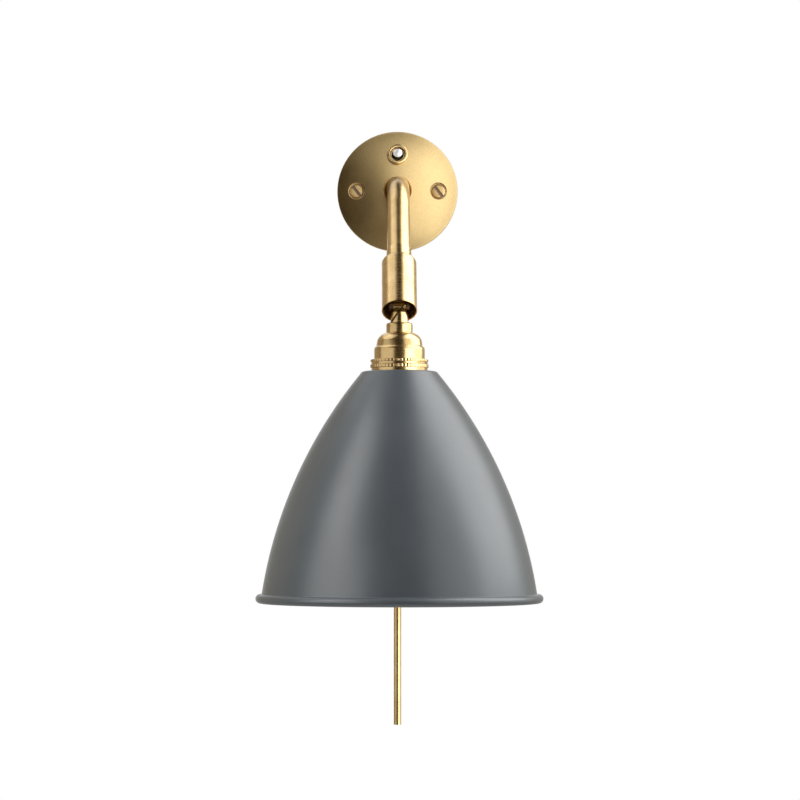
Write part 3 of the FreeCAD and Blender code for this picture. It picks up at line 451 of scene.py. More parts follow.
@dataclass(frozen=True)
class DrawnMetal(MarkedMetal):
    """Tube drawn and brushed along its length: fine long streaks.

    Attributes:
        streak: Width and length of the streaks in millimetres.
    """

    streak: tuple[float, float] = (0.35, 14.0)

    def marks(self, pattern: Pattern, point: bpy.types.NodeSocket) -> tuple[bpy.types.NodeSocket, float]:
        """Return streaks along the seat's axis."""
        return pattern.streaks(point, *self.streak), 0.5


@dataclass(frozen=True)
class BlastedMetal:
    """Metal blasted with glass bead: an even, fine pitted satin without direction.

    Attributes:
        name: What the material is.
        light: Hex colour of the raised grain.
        dull: Hex colour of the pits.
        rough: Lowest and highest roughness.
        grit: Size of the pits in millimetres.
        lacquer: Weight of the clear lacquer.
    """

    name: str
    light: str
    dull: str
    rough: tuple[float, float]
    grit: float = 0.3
    lacquer: float = 1.0

    def made(self, seat: Seat) -> bpy.types.Material:
        """Return the finish for pieces on a seat."""
        material, tree, shader = started(self.name)
        pattern = Pattern(tree, seat)
        point = pattern.point()
        pits = pattern.grain(point, self.grit, 2.0)
        cloud = pattern.grain(point, 12.0)
        shader.inputs["Metallic"].default_value = 1.0
        lacquered(shader, self.lacquer, self.rough[0])
        link(tree, shader,
             Base_Color=ramp(tree, pits, [(0.32, self.dull), (0.6, self.light)]),
             Roughness=pattern.spread(cloud, *self.rough),
             Normal=pattern.bump(pits, 0.03, 0.5))
        return material


@dataclass(frozen=True)
class Paint:
    """Sprayed lacquer or moulded surface: slight orange peel over an even colour.

    Attributes:
        name: What the material is.
        light: Hex colour of its lighter clouds.
        deep: Hex colour of its darker clouds.
        rough: Lowest and highest roughness.
        peel: Size of the peel's cells in millimetres.
        relief: Depth of the peel in millimetres.
        metallic: How far it reflects like metal, for flake in the lacquer.
        ior: Index of refraction of the surface.
    """

    name: str
    light: str
    deep: str
    rough: tuple[float, float]
    peel: float = 1.2
    relief: float = 0.012
    metallic: float = 0.0
    ior: float = 1.5

    def made(self, seat: Seat) -> bpy.types.Material:
        """Return the finish for pieces on a seat."""
        material, tree, shader = started(self.name)
        pattern = Pattern(tree, seat)
        point = pattern.point()
        cells = pattern.grain(point, self.peel, 2.0)
        cloud = pattern.grain(point, 25.0)
        shader.inputs["Metallic"].default_value = self.metallic
        shader.inputs["IOR"].default_value = self.ior
        link(tree, shader,
             Base_Color=ramp(tree, cloud, [(0.35, self.deep), (0.65, self.light)]),
             Roughness=pattern.spread(cells, *self.rough),
             Normal=pattern.bump(cells, self.relief, 0.35))
        return material


@dataclass(frozen=True)
class FrostedGlass:
    """Blown glass etched inside: light passes, the shape of what lies behind doesn't."""

    name: str = "etched_soda_glass"
    tint: str = "f4f1e8"

    def made(self, seat: Seat) -> bpy.types.Material:
        """Return the finish for pieces on a seat."""
        material, tree, shader = started(self.name)
        pattern = Pattern(tree, seat)
        etch = pattern.grain(pattern.point(), 0.4, 2.0)
        shader.inputs["Base Color"].default_value = linear(self.tint)
        shader.inputs["Transmission Weight"].default_value = 0.55
        shader.inputs["IOR"].default_value = 1.5
        link(tree, shader, Roughness=pattern.spread(etch, 0.35, 0.5),
             Normal=pattern.bump(etch, 0.01, 0.2))
        return material


Finish = MarkedMetal | BlastedMetal | Paint | FrostedGlass

# Polished and lacquered cartridge brass: pale gold, soft mirror with fine rings of the lathe.
POLISHED = TurnedMetal("polished_brass", "e2be74", "cfa85c", (0.23, 0.29), 0.001, 0.9, 0.22)
# Drawn tube, brushed along its length before lacquering, so a little softer than turned work.
DRAWN = DrawnMetal("drawn_brass_tube", "e1bc70", "cea559", (0.27, 0.33), 0.0015, 0.9)
# The plate is blasted after spinning, which spreads every highlight into a soft patch.
BLASTED = BlastedMetal("bead_blasted_brass", "e0c070", "c6a058", (0.34, 0.4), 0.35, 1.0)
# Screw heads and the housing's bore, left satin from the tool.
SATIN = TurnedMetal("satin_screw_brass", "dcbc7c", "c8a25e", (0.46, 0.56), spacing=0.5)
# Dark brass on the fork and pin inside the joint, the bush and the screws' slots: painted shade in these
# hollows and gaps.
SHADE_PAINTED_BRASS = TurnedMetal("browned_brass", "85602f", "5c3f1c", (0.36, 0.46), spacing=0.4)
# Turned steel of nuts, pins and screws, bright zinc over fine tool marks.
STEEL = TurnedMetal("zinc_plated_steel", "c4c6c8", "a2a5a8", (0.25, 0.38))
# Satin chromium plate on the button's tip: nearly white.
CHROME = Paint("satin_chromium_plate", "fafafa", "f0f0f0", (0.3, 0.36), 0.5, 0.002, 0.45)
# Rolled aluminium of the bulb's cap.
ALUMINIUM = TurnedMetal("rolled_aluminium", "cfd0d2", "b4b6b9", (0.28, 0.4))
# Stoved satin lacquer over spun steel: blue grey, broad soft highlights, faint orange peel.
LACQUER = Paint("satin_grey_lacquer", "5f676d", "5a6268", (0.34, 0.4), ior=1.85)
# White reflector enamel inside the shade.
ENAMEL = Paint("white_reflector_enamel", "f0efeb", "e6e5e0", (0.35, 0.45))
# Moulded phenolic of the switch, the terminal block and the sleeve, faintly grained; on the button's side
# it is painted shade.
PHENOLIC = Paint("black_phenolic_moulding", "1d1c1b", "151413", (0.38, 0.55), 0.5, 0.02)
# Unglazed steatite of the lampholder's base.
STEATITE = Paint("unglazed_steatite", "e8e4d8", "dcd7ca", (0.5, 0.65), 0.4, 0.02)
# Etched bulb glass.
ETCHED = FrostedGlass()


class Workshop:
    """Dresses pieces, puts them on their bodies and keeps one material per finish and seat."""

    def __init__(self) -> None:
        """Start with no materials."""
        self.materials: dict[tuple, bpy.types.Material] = {}

    def material(self, finish: Finish, seat: Seat) -> bpy.types.Material:
        """Return the finish on a seat, made once."""
        key = (finish, seat)
        if key not in self.materials:
            self.materials[key] = finish.made(seat)
        return self.materials[key]

    def place(self, piece: bpy.types.Object, body: Body, slot: Slot, node: str, seat: Seat,
              *finishes: Finish) -> None:
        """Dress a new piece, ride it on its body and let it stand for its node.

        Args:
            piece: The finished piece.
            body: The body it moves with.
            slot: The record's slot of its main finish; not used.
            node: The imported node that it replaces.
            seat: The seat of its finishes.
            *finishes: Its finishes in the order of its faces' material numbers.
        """
        for finish in finishes:
            piece.data.materials.append(self.material(finish, seat))
        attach(piece, body.value)
        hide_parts(node)
        LOG.info("%s rides on %s: %d faces", piece.name, body.value, len(piece.data.polygons))

    def turn(self, section: Section, name: str, body: Body, slot: Slot, node: str, seat: Seat,
             finish: Finish, steps: int = 96, segments: int = 4,
             crease: float = 35.0) -> None:
        """Turn a section on a seat and place it in one finish, with the arguments of place."""
        piece = shade(as_object(name, section.turned(seat, steps, segments)), crease)
        self.place(piece, body, slot, node, seat, finish)

    def dress(self, node: str, material: bpy.types.Material) -> None:
        """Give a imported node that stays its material."""
        for place in frame["nodes"][node].material_slots:
            place.material = material
        LOG.info("%s keeps its solid", node)


# ---------------------------------------------------------------------------------------
# Wall plate and its screws
# ---------------------------------------------------------------------------------------
@dataclass
class WallPlate:
    """Domed plate with its hollow back, two recessed slotted screws and the arm's opening.

    Attributes:
        shop: What dresses and places the pieces.
        seat: Centre of the back face, local Z out of the wall.
    """

    shop: Workshop
    seat: Seat
    radius: float = 35.5
    crown: float = 8.5
    edge: float = 2.0
    bevel: float = 0.5
    wall: float = 1.6
    hole: float = 7.25
    hole_bevel: float = 1.1
    land: float = 11.2
    land_out: float = 5.0
    post: float = 3.0
    post_side: float = 13.5
    post_drop: float = 15.5
    post_end: float = 3.2
    boss_top: float = 6.5
    switch_depth: float = 8.0
    switch_flat: float = 0.25
    channel: float = 25.0
    spacing: float = 48.3
    recess: float = 4.95
    recess_floor: float = 1.9
    recess_bevel: float = 0.5
    recess_wall: float = 1.9
    mouth_ease: float = 0.35
    head: float = 4.2
    head_height: float = 2.2
    head_flat: float = 3.15
    head_drop: float = 0.65
    head_round: float = 1.5
    point: float = 0.6
    point_length: float = 5.7
    shank: float = 1.9
    neck: float = 2.1
    shank_hole: float = 2.4
    reach: float = 14.0
    slot_width: float = 1.8
    slot_depth: float = 1.1
    slot_turn: float = -53.0
    slot_edge: float = 0.3

    def dome_radius(self) -> float:
        """Return the radius of the front's sphere."""
        rise = self.crown - self.edge
        return (self.radius ** 2 + rise ** 2) / (2 * rise)

    def dome(self, radius: float, inset: float = 0.0) -> float:
        """Return the height of the dome over the wall at a radius, or of its inner face."""
        big = self.dome_radius()
        return self.crown - big + math.sqrt((big - inset) ** 2 - radius ** 2)

    def plate(self, switch: Seat, barrel: float, nut: float, conduit: Vector, bore: float) -> None:
        """Turn the dome, fuse the bosses behind it and cut its openings.

        Args:
            switch: The switch's seat on the dome.
            barrel: Radius of the switch's hole.
            nut: Radius of the flat that its ring nut lies on.
            conduit: Top of the conduit's axis in metres.
            bore: The conduit's radius.
        """
        big, rim = self.dome_radius(), self.radius - self.wall
        outer_edge = self.radius - self.bevel
        mouth = self.hole + self.hole_bevel
        section = Section(self.hole, self.land_out).line(self.land, self.land_out)
        section.line(self.land, self.dome(self.land, self.wall))
        section.arc(rim, self.dome(rim, self.wall), -(big - self.wall), 20)
        section.line(rim, 0.0).line(self.radius, 0.0, 0.2).line(self.radius, self.edge - self.bevel)
        section.arc(outer_edge, self.dome(outer_edge), self.bevel, 4)
        section.arc(mouth, self.dome(mouth), big, 36)
        section.line(self.hole, self.dome(mouth) - self.hole_bevel, 0.3).close()
        piece = as_object("wall_plate_dome", section.turned(self.seat, 160))

        back = [tube_section(self.recess + self.recess_wall, 0.0, 0.0, self.boss_top, 0.0).turned(
            self.seat.shifted(side * self.spacing / 2, 0), 64) for side in (-1, 1)]
        back += [tube_section(self.post, 0.0, self.post_end, self.boss_top, 0.0).turned(
            self.seat.shifted(side * self.post_side, -self.post_drop), 48) for side in (-1, 1)]
        for index, boss in enumerate(back):
            filling = Section(0, -1).line(rim, -1).line(rim, self.dome(rim, self.wall / 2))
            filling.arc(0, self.dome(0, self.wall / 2), big - self.wall / 2, 24)
            kept = carved(as_object(f"boss_{index}", boss), [filling.turned(self.seat, 160)], "INTERSECT")
            carved(piece, [kept], "UNION")

        cuts = []
        for side in (-1, 1):
            at = self.seat.shifted(side * self.spacing / 2, 0)
            surface = self.dome(self.spacing / 2)
            cuts.append(Section(0, self.recess_floor).line(self.recess, self.recess_floor).line(
                self.recess, surface + 3).line(0, surface + 3).turned(at, 72))
            mouth_seat = at.shifted(0, 0, surface)
            ease = Section(0, -self.recess_bevel)
            ease.line(self.recess + self.mouth_ease - self.recess_bevel, -self.recess_bevel)
            ease.line(self.recess + self.mouth_ease + self.recess_bevel, self.recess_bevel)
            ease = ease.line(0, self.recess_bevel).turned(mouth_seat, 72)
            tilt = math.asin(side * self.spacing / 2 / self.dome_radius())
            bmesh.ops.rotate(ease, cent=mouth_seat.origin, verts=ease.verts,
                             matrix=Matrix.Rotation(tilt, 3, "Z"))
            cuts.append(ease)
            cuts.append(Section(0, -1).line(self.shank_hole, -1).line(
                self.shank_hole, self.recess_floor + 1).line(0, self.recess_floor + 1).turned(at, 32))
        opening = Section(0, -self.switch_depth).line(barrel, -self.switch_depth)
        opening.line(barrel, -self.switch_flat).line(nut, -self.switch_flat)
        cuts.append(opening.line(nut, 2).line(0, 2).turned(switch, 72))
        channel = Seat(tuple(conduit - Vector((0, 0, self.channel * MM))), 0.0)
        cuts.append(Section(0, 0).line(bore, 0).line(bore, self.channel).line(
            0, self.channel).turned(channel, 48))
        carved(piece, cuts, "DIFFERENCE")
        self.shop.place(shade(piece, 28.0), Body.BRACKET, Slot.SATIN_BRASS, "wall_plate",
                        self.seat, BLASTED)

    def screws(self) -> None:
        """Turn both wood screws, cut their slots and seat them in the recesses."""
        top = self.recess_floor + self.head_height
        for name, side in (("left", -1), ("right", 1)):
            at = self.seat.shifted(side * self.spacing / 2, 0)
            section = Section(0, -self.reach).line(self.point, -self.reach)
            section.line(self.shank, self.point_length - self.reach).line(self.shank, 0)
            section.line(self.neck, 0, 0.1).line(self.neck, self.recess_floor)
            section.line(self.head, self.recess_floor, 0.15).line(self.head, top - self.head_drop)
            section.arc(self.head_flat, top, self.head_round, 6).line(0, top)
            piece = as_object(f"plate_screw_{name}", section.turned(at, 72))
            slot = (3 * self.head, self.slot_width, 2 * self.slot_depth)
            carved(piece, [block(slot, (0, 0, top), at, self.slot_turn)], "DIFFERENCE")
            # Faces of the slot below its edge take the dark brass: painted shade in the slot.
            local = at.matrix().inverted()
            for face in piece.data.polygons:
                point = local @ face.center
                sunk = self.recess_floor < point.z < top - self.slot_edge
                face.material_index = int(sunk and point.xy.length < self.head - self.slot_edge)
            self.shop.place(shade(piece), Body.BRACKET, Slot.POLISHED_BRASS, "plate_screws",
                            at, SATIN, SHADE_PAINTED_BRASS)


# ---------------------------------------------------------------------------------------
# Push switch
# ---------------------------------------------------------------------------------------
@dataclass
class PushSwitch:
    """Ring nut with a rolled lip, threaded barrel and a plated button that slides in it.

    Attributes:
        shop: What dresses and places the pieces.
        seat: Where the switch's axis meets the dome, local Z out of the plate.
    """

    shop: Workshop
    seat: Seat
    barrel: float = 4.15
    bore: float = 3.25
    proud: float = 0.5
    nut: float = 6.1
    nut_height: float = 2.3
    nut_seat: float = 0.25
    button: float = 2.95
    button_proud: float = 4.4
    button_dome: float = 1.4
    barrel_end: float = 4.6
    shaft: float = 1.475
    shaft_end: float = 8.1
    flange: float = 4.09
    flange_low: float = 6.1
    flange_top: float = 4.7
    white_from: float = 0.3

    def build(self) -> None:
        """Make the three pieces."""
        top = self.nut_height - self.nut_seat
        nut = Section(self.barrel, -self.nut_seat).line(self.nut, -self.nut_seat)
        nut.line(self.nut, top, 0.8).line(self.barrel, top, 0.45).close()
        self.shop.turn(nut, "switch_nut", Body.BRACKET, Slot.POLISHED_BRASS, "switch_ring_nut",
                       self.seat, POLISHED, segments=6)
        barrel = Section(self.bore, -self.barrel_end).line(self.barrel, -self.barrel_end)
        barrel.line(self.barrel, self.proud, 0.25).line(self.bore, self.proud, 0.3).close()
        self.shop.turn(barrel, "switch_sleeve", Body.BRACKET, Slot.POLISHED_BRASS, "switch_barrel",
                       self.seat, POLISHED, 72)
        shoulder = self.button_proud - self.button_dome
        bulge = (self.button ** 2 + self.button_dome ** 2) / (2 * self.button_dome)
        tip = Section(0, -self.shaft_end).line(self.shaft, -self.shaft_end, 0.2)
        tip.line(self.shaft, -self.flange_low).line(self.flange, -self.flange_low)
        tip.line(self.flange, -self.flange_top, 0.15).line(self.button, -self.flange_top)
        tip.line(self.button, shoulder, 0.3).arc(0, self.button_proud, bulge, 16)
        mesh = tip.turned(self.seat, 72, 6)
        local = self.seat.matrix().inverted()
        # The button's side below its white tip takes black phenolic: painted shade under the tip.
        for face in mesh.faces:
            point = local @ face.calc_center_median()
            face.material_index = int(point.z < shoulder + self.white_from)
        self.shop.place(shade(as_object("switch_push", mesh)), Body.BUTTON, Slot.CHROME,
                        "switch_button", self.seat, CHROME, PHENOLIC)


# ---------------------------------------------------------------------------------------
# Arm, collar and conduit
# ---------------------------------------------------------------------------------------
@dataclass
class Arm:
    """Tube that leaves the wall square, bends down and ends in a collar; and the conduit.

    Attributes:
        shop: What dresses and places the pieces.
        wall: Seat of the plate.
        joint: Seat of the joint, local Z up the arm from the housing's mouth.
    """

    shop: Workshop
    wall: Seat
    joint: Seat
    radius: float = 6.55
    thick: float = 1.0
    start: float = 0.6
    out: float = 20.0
    bend: float = 32.0
    straight: float = 34.3
    collar: float = 7.1
    collar_low: float = 36.7
    collar_high: float = 43.6
    spigot: float = 8.0
    bolt: float = 4.5
    conduit: float = 2.18
    conduit_wall: float = 0.45

    def tube(self, lean: float) -> None:
        """Sweep the tube's circle out, round the bend and down the lean."""
        mesh = bmesh.new()
        bmesh.ops.create_circle(mesh, segments=96, radius=self.radius)
        bmesh.ops.translate(mesh, vec=(0, 0, self.start), verts=mesh.verts)
        loop = mesh.edges[:]
        for length, angle in ((self.out - self.start, 90 - lean), (self.straight, 0.0)):
            heading = (Vector((0, 0, 1)) if angle
                       else Vector((0, -math.cos(math.radians(lean)), math.sin(math.radians(lean)))))
            grown = bmesh.ops.extrude_edge_only(mesh, edges=loop)["geom"]
            bmesh.ops.translate(mesh, vec=heading * length,
                                verts=[item for item in grown if isinstance(item, bmesh.types.BMVert)])
            loop = [item for item in grown if isinstance(item, bmesh.types.BMEdge)
                    and len(item.link_faces) == 1]
            if angle:
                swept = bmesh.ops.spin(mesh, geom=loop, cent=(0, -self.bend, self.out),
                                       axis=(1, 0, 0), angle=math.radians(angle), steps=40)
                loop = [item for item in swept["geom_last"] if isinstance(item, bmesh.types.BMEdge)]
        bmesh.ops.recalc_face_normals(mesh, faces=mesh.faces)
        bmesh.ops.transform(mesh, matrix=self.wall.matrix(), verts=mesh.verts)
        piece = as_object("arm_bent_tube", mesh)
        wall = piece.modifiers.new("wall", "SOLIDIFY")
        wall.thickness, wall.offset = self.thick * MM, -1.0
        self.shop.place(shade(piece), Body.BRACKET, Slot.POLISHED_BRASS, "arm_tube", self.joint, DRAWN)

    def end_collar(self) -> None:
        """Turn the collar with the spigot that plugs into the tube."""
        inner = self.radius - self.thick
        section = Section(self.bolt, self.collar_low).line(self.collar, self.collar_low, 0.35)
        section.line(self.collar, self.collar_high, 0.25).line(inner, self.collar_high)
        section.line(inner, self.collar_high + self.spigot, 0.3)
        section.line(self.bolt, self.collar_high + self.spigot).close()
        self.shop.turn(section, "arm_end_collar", Body.BRACKET, Slot.POLISHED_BRASS, "arm_collar",
                       self.joint, POLISHED)

    def conduit_pipe(self) -> None:
        """Turn the long thin tube between its two ends."""
        low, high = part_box("conduit_tube")
        seat = Seat((0.0, (low[1] + high[1]) / 2, low[2]), 0.0)
        length = (high[2] - low[2]) / MM
        section = tube_section(self.conduit, self.conduit - self.conduit_wall, 0, length, 0.08)
        self.shop.turn(section, "conduit_pipe", Body.BRACKET, Slot.POLISHED_BRASS, "conduit_tube",
                       seat, DRAWN, 64)


# ---------------------------------------------------------------------------------------
# Joint housing
# ---------------------------------------------------------------------------------------
@dataclass
class Joint:
    """Thin-walled housing, open at its mouth.

    Attributes:
        shop: What dresses and places the pieces.
        seat: Centre of the housing's mouth, local Z up the arm.
    """

    shop: Workshop
    seat: Seat
    radius: float = 9.9
    bore: float = 9.2
    length: float = 36.6
    ceiling: float = 33.6
    shoulder: float = 2.8
    lip: float = 0.35
    lip_edge: float = 0.18
    hole: float = 4.56

    def housing(self) -> None:
        """Turn the housing with its rounded shoulder and thin lip."""
        section = Section(self.radius - self.lip / 2, 0).line(self.radius, self.lip_edge, 0.08)
        section.line(self.radius, self.length - self.shoulder)
        section.arc(self.radius - self.shoulder, self.length, self.shoulder, 16)
        section.line(self.hole, self.length).line(self.hole, self.ceiling)
        section.line(self.bore, self.ceiling).line(self.bore, self.lip, 0.1)
        section.line(self.bore + self.lip, 0, 0.1).close()
        mesh = section.turned(self.seat, 128)
        local = self.seat.matrix().inverted()
        for face in mesh.faces:
            point = local @ face.calc_center_median()
            within = point.xy.length < self.bore + self.lip / 2
            face.material_index = int(within and self.lip < point.z < self.ceiling + self.lip)
        self.shop.place(shade(as_object("joint_barrel", mesh), 40.0), Body.SWIVEL,
                        Slot.POLISHED_BRASS, "joint_housing", self.seat, POLISHED, SATIN)


# ---------------------------------------------------------------------------------------
# Knuckle, lampholder and shade, which hang from the hinge
# ---------------------------------------------------------------------------------------
@dataclass
class Knuckle:
    """Bullet-shaped stem with its eye and wire groove, and the neck ring under it.

    Attributes:
        shop: What dresses and places the pieces.
        seat: The hinge axis, local Z straight down.
    """

    shop: Workshop
    seat: Seat
    eye: float = 2.5
    eye_half: float = 3.5
    web: tuple[float, float] = (5.8, 4.0)
    pin: float = 1.16
    pin_half: float = 9.0
    top: float = 2.6
    bottom: float = 9.8
    tip: float = 2.9
    tip_round: float = 1.7
    waist: float = 4.55
    foot: float = 5.05
    tail: float = 4.0
    tail_end: float = 20.2
    bore: float = 2.4
    bore_top: float = 7.4
    groove: float = 1.0
    groove_floor: float = 1.8
    groove_depth: float = 8.0
    groove_length: float = 14.4
    groove_shift: float = -2.2
    groove_turn: float = 35.0
    neck: float = 7.4
    neck_end: float = 15.3
    neck_ease: float = 1.3

    def stem(self) -> None:
        """Turn the stem, fuse the eye to it, drill it and cut the slanting groove."""
        section = Section(0, self.top).line(self.tip, self.top)
        section.arc(self.waist, self.top + self.tip_round, self.tip_round, 8)
        section.line(self.foot, self.bottom, 0.1).line(self.tail, self.bottom)
        section.line(self.tail, self.tail_end, 0.2).line(self.bore, self.tail_end)
        section.line(self.bore, self.bore_top).line(0, self.bore_top)
        piece = as_object("knuckle_bullet", section.turned(self.seat, 96))
        across = self.seat.matrix() @ Matrix.Rotation(math.radians(90), 4, "Y") @ \
            self.seat.matrix().inverted()
        web = block((*self.web, self.top + 1), (0, 0, (self.top + 1) / 2), self.seat)
        eye = tube_section(self.eye, 0.0, -self.eye_half, self.eye_half, 0.6).turned(self.seat, 64)
        bmesh.ops.transform(eye, matrix=across, verts=eye.verts)
        carved(piece, [web, eye], "UNION")
        drill = tube_section(self.pin, 0.0, -self.pin_half, self.pin_half, 0.0).turned(self.seat, 48)
        bmesh.ops.transform(drill, matrix=across, verts=drill.verts)
        groove = bmesh.new()
        bmesh.ops.create_cube(groove, size=1.0)
        bmesh.ops.scale(groove, vec=(self.groove, self.groove_depth, self.groove_length),
                        verts=groove.verts)
        bmesh.ops.rotate(groove, cent=(0, 0, 0), verts=groove.verts,
                         matrix=Matrix.Rotation(math.radians(-self.groove_turn), 3, "Y"))
        out, middle = self.groove_floor + self.groove_depth / 2, (self.top + self.bottom) / 2
        bmesh.ops.translate(groove, verts=groove.verts, vec=(self.groove_shift, out, middle))
        bmesh.ops.transform(groove, matrix=self.seat.matrix(), verts=groove.verts)
        carved(piece, [drill, groove], "DIFFERENCE")
        self.shop.place(shade(piece), Body.HEAD, Slot.POLISHED_BRASS, "knuckle_stem", self.seat,
                        POLISHED)

    def ring(self) -> None:
        """Turn the neck ring with its rounded upper edge."""
        section = Section(self.tail, self.bottom).line(self.neck, self.bottom, self.neck_ease)
        section.line(self.neck, self.neck_end, 0.2).line(self.tail, self.neck_end).close()
        self.shop.turn(section, "neck_band", Body.HEAD, Slot.POLISHED_BRASS, "neck_ring", self.seat,
                       POLISHED, segments=6)


@dataclass
class Lampholder:
    """Spun cap, knurled rings and threaded sleeve of the lampholder.

    Attributes:
        shop: What dresses and places the pieces.
        seat: The hinge axis, local Z straight down.
    """

    shop: Workshop
    seat: Seat
    tail: float = 4.0
    top: float = 15.3
    crown: float = 7.8
    shoulder: float = 12.5
    dome: float = 13.0
    skirt: float = 14.2
    crown_round: float = 7.0
    shoulder_drop: float = 4.4
    dome_drop: float = 7.6
    step: float = 1.9
    step_round: float = 2.1
    length: float = 15.1
    wall: float = 0.9
    sleeve: float = 13.15
    sleeve_bore: float = 10.5
    sleeve_top: float = 25.6
    sleeve_end: float = 58.6
    thread: float = 0.35
    thread_top: float = 43.0
    thread_margin: float = 1.0
    pitch: float = 2.0
    collar_knurl: tuple[float, float] = (16.1, 1.45)
    collar_band: tuple[float, float] = (15.8, 1.35)
    ring_knurl: tuple[float, float] = (16.25, 1.9)
    ring_band: tuple[float, float] = (15.75, 1.9)
    clamp: tuple[float, float] = (17.5, 3.0)
    shade_wall: float = 1.0
    teeth: int = 52
    tooth_depth: float = 0.35

    def cap(self) -> None:
        """Turn the cap: small dome, step and straight skirt of even wall."""
        shoulder, dome_end = self.top + self.shoulder_drop, self.top + self.dome_drop
        skirt_top, end = dome_end + self.step, self.top + self.length
        section = Section(self.tail, self.top).line(self.crown, self.top)
        section.arc(self.shoulder, shoulder, self.crown_round, 14)
        section.line(self.dome, dome_end, 0.2).arc(self.skirt, skirt_top, self.step_round, 8)
        section.line(self.skirt, end, 0.25).line(self.skirt - self.wall, end)
        section.line(self.skirt - self.wall, skirt_top + self.wall / 2)
        section.line(self.dome - self.wall, dome_end + self.wall / 2)
        section.line(self.shoulder - self.wall, shoulder)
        section.arc(self.crown - self.wall / 2, self.top + self.wall, self.wall - self.crown_round, 10)
        section.line(self.tail, self.top + self.wall).close()
        self.shop.turn(section, "holder_cap", Body.HEAD, Slot.POLISHED_BRASS, "lampholder_cap",
                       self.seat, POLISHED, 128, crease=40.0)

    def knurled(self, name: str, node: str, top: float, knurl: tuple[float, float],
                band: tuple[float, float]) -> None:
        """Turn a ring and press straight teeth into its upper edge.

        Args:
            name: The piece's name.
            node: The node that it stands for.
            top: Its upper face below the hinge axis.
            knurl: Radius and height of the toothed edge.
            band: Radius and height of the smooth band.
        """
        low = top + knurl[1]
        end = low + band[1]
        section = Section(self.sleeve, top).line(knurl[0], top, 0.25).line(knurl[0], low, 0.25)
        section.line(band[0], low, 0.1).line(band[0], end, 0.3).line(self.sleeve, end).close()
        mesh = section.turned(Seat((0.0, 0.0, 0.0), 0.0), 4 * self.teeth, 3)
        bmesh.ops.transform(mesh, matrix=Matrix.Scale(1 / MM, 4), verts=mesh.verts)
        quarter = math.pi / (2 * self.teeth)
        for step, depth in ((0, self.tooth_depth), (1, self.tooth_depth / 2), (3, self.tooth_depth / 2)):
            sunk = [vert for vert in mesh.verts
                    if vert.co.xy.length > self.sleeve + 0.5 and vert.co.z < low - 0.01
                    and round(math.atan2(vert.co.y, vert.co.x) / quarter) % 4 == step]
            share = 1 - depth / knurl[0]
            bmesh.ops.scale(mesh, vec=(share, share, 1.0), verts=sunk)
        bmesh.ops.transform(mesh, matrix=self.seat.matrix(), verts=mesh.verts)
        self.shop.place(shade(as_object(name, mesh), 50.0), Body.HEAD, Slot.POLISHED_BRASS, node,
                        self.seat, POLISHED)

    def rings(self) -> None:
        """Make both knurled rings and the plain clamp ring inside the shade."""
        first = self.top + self.length
        second = first + self.collar_knurl[1] + self.collar_band[1]
        self.knurled("knurled_collar", "holder_collar", first, self.collar_knurl, self.collar_band)
        self.knurled("knurled_shade_ring", "shade_ring_upper", second, self.ring_knurl, self.ring_band)
        low = second + self.ring_knurl[1] + self.ring_band[1] + self.shade_wall
        radius, end = self.clamp[0], low + self.clamp[1]
        section = Section(self.sleeve, low).line(radius, low, 0.3).line(radius, end, 0.8)
        section.line(self.sleeve, end).close()
        self.shop.turn(section, "clamp_ring", Body.HEAD, Slot.POLISHED_BRASS, "shade_ring_inner",
                       self.seat, POLISHED)

    def threaded_sleeve(self) -> None:
        """Turn the sleeve, its outside grooved like a rolled thread below the clamp ring."""
        section = Section(self.sleeve_bore, self.sleeve_top).line(self.sleeve, self.sleeve_top, 0.3)
        height = self.thread_top
        section.line(self.sleeve, height)
        while height + self.pitch < self.sleeve_end - self.thread_margin:
            section.line(self.sleeve - self.thread, height + self.pitch / 2, 0.3)
            height += self.pitch
            section.line(self.sleeve, height, 0.3)
        section.line(self.sleeve, self.sleeve_end, 0.4).line(self.sleeve_bore, self.sleeve_end, 0.3)
        section.close()
        self.shop.turn(section, "holder_threaded_sleeve", Body.HEAD, Slot.MOULDING, "holder_sleeve",
                       self.seat, PHENOLIC)


@dataclass
class BellShade:
    """Spun bell with a long even sweep, a rounded top corner and an outward rolled rim.

    Attributes:
        shop: What dresses and places the piece.
        seat: The hinge axis, local Z straight down.
    """

    shop: Workshop
    seat: Seat
    hole: float = 13.3
    top: float = 37.0
    corner: float = 19.6
    corner_round: float = 2.4
    shoulder: float = 21.9
    shoulder_drop: float = 1.45
    sweep: float = 253.9
    foot: float = 76.55
    height: float = 128.9
    wall: float = 1.0
    rim: float = 80.0
    roll: float = 2.5

    def build(self) -> None:
        """Turn the shade and paint its inner faces white."""
        end = self.top + self.height
        centre, roll_top = self.rim - self.roll, end - 2 * self.roll
        shoulder = self.top + self.shoulder_drop
        section = Section(self.hole, self.top).line(self.corner, self.top)
        section.arc(self.shoulder, shoulder, self.corner_round, 6)
        section.arc(self.foot, roll_top, self.sweep, 96)
        section.line(centre, roll_top, 0.3)
        section.arc(self.rim, end - self.roll, self.roll, 8).arc(centre, end, self.roll, 8)
        section.line(self.foot - self.wall, end - self.roll / 2, 0.4)
        section.line(self.foot - self.wall, roll_top)
        section.arc(self.shoulder - self.wall, shoulder + self.wall / 2, self.wall - self.sweep, 64)
        section.arc(self.corner, self.top + self.wall, self.wall - self.corner_round, 4)
        section.line(self.hole, self.top + self.wall).close()
        mesh = section.turned(self.seat, 192)
        axis = Vector(self.seat.origin)
        for face in mesh.faces:
            outward = face.calc_center_median() - axis
            outward.z = 0.0
            inner = face.normal.dot(outward) < 0 or (
                face.normal.z < -0.9 and outward.length < (self.corner + 1) * MM)
            face.material_index = int(inner)
        self.shop.place(shade(as_object("bell_reflector", mesh), 40.0), Body.HEAD, Slot.LACQUER,
                        "bell_shade", self.seat, LACQUER, ENAMEL)


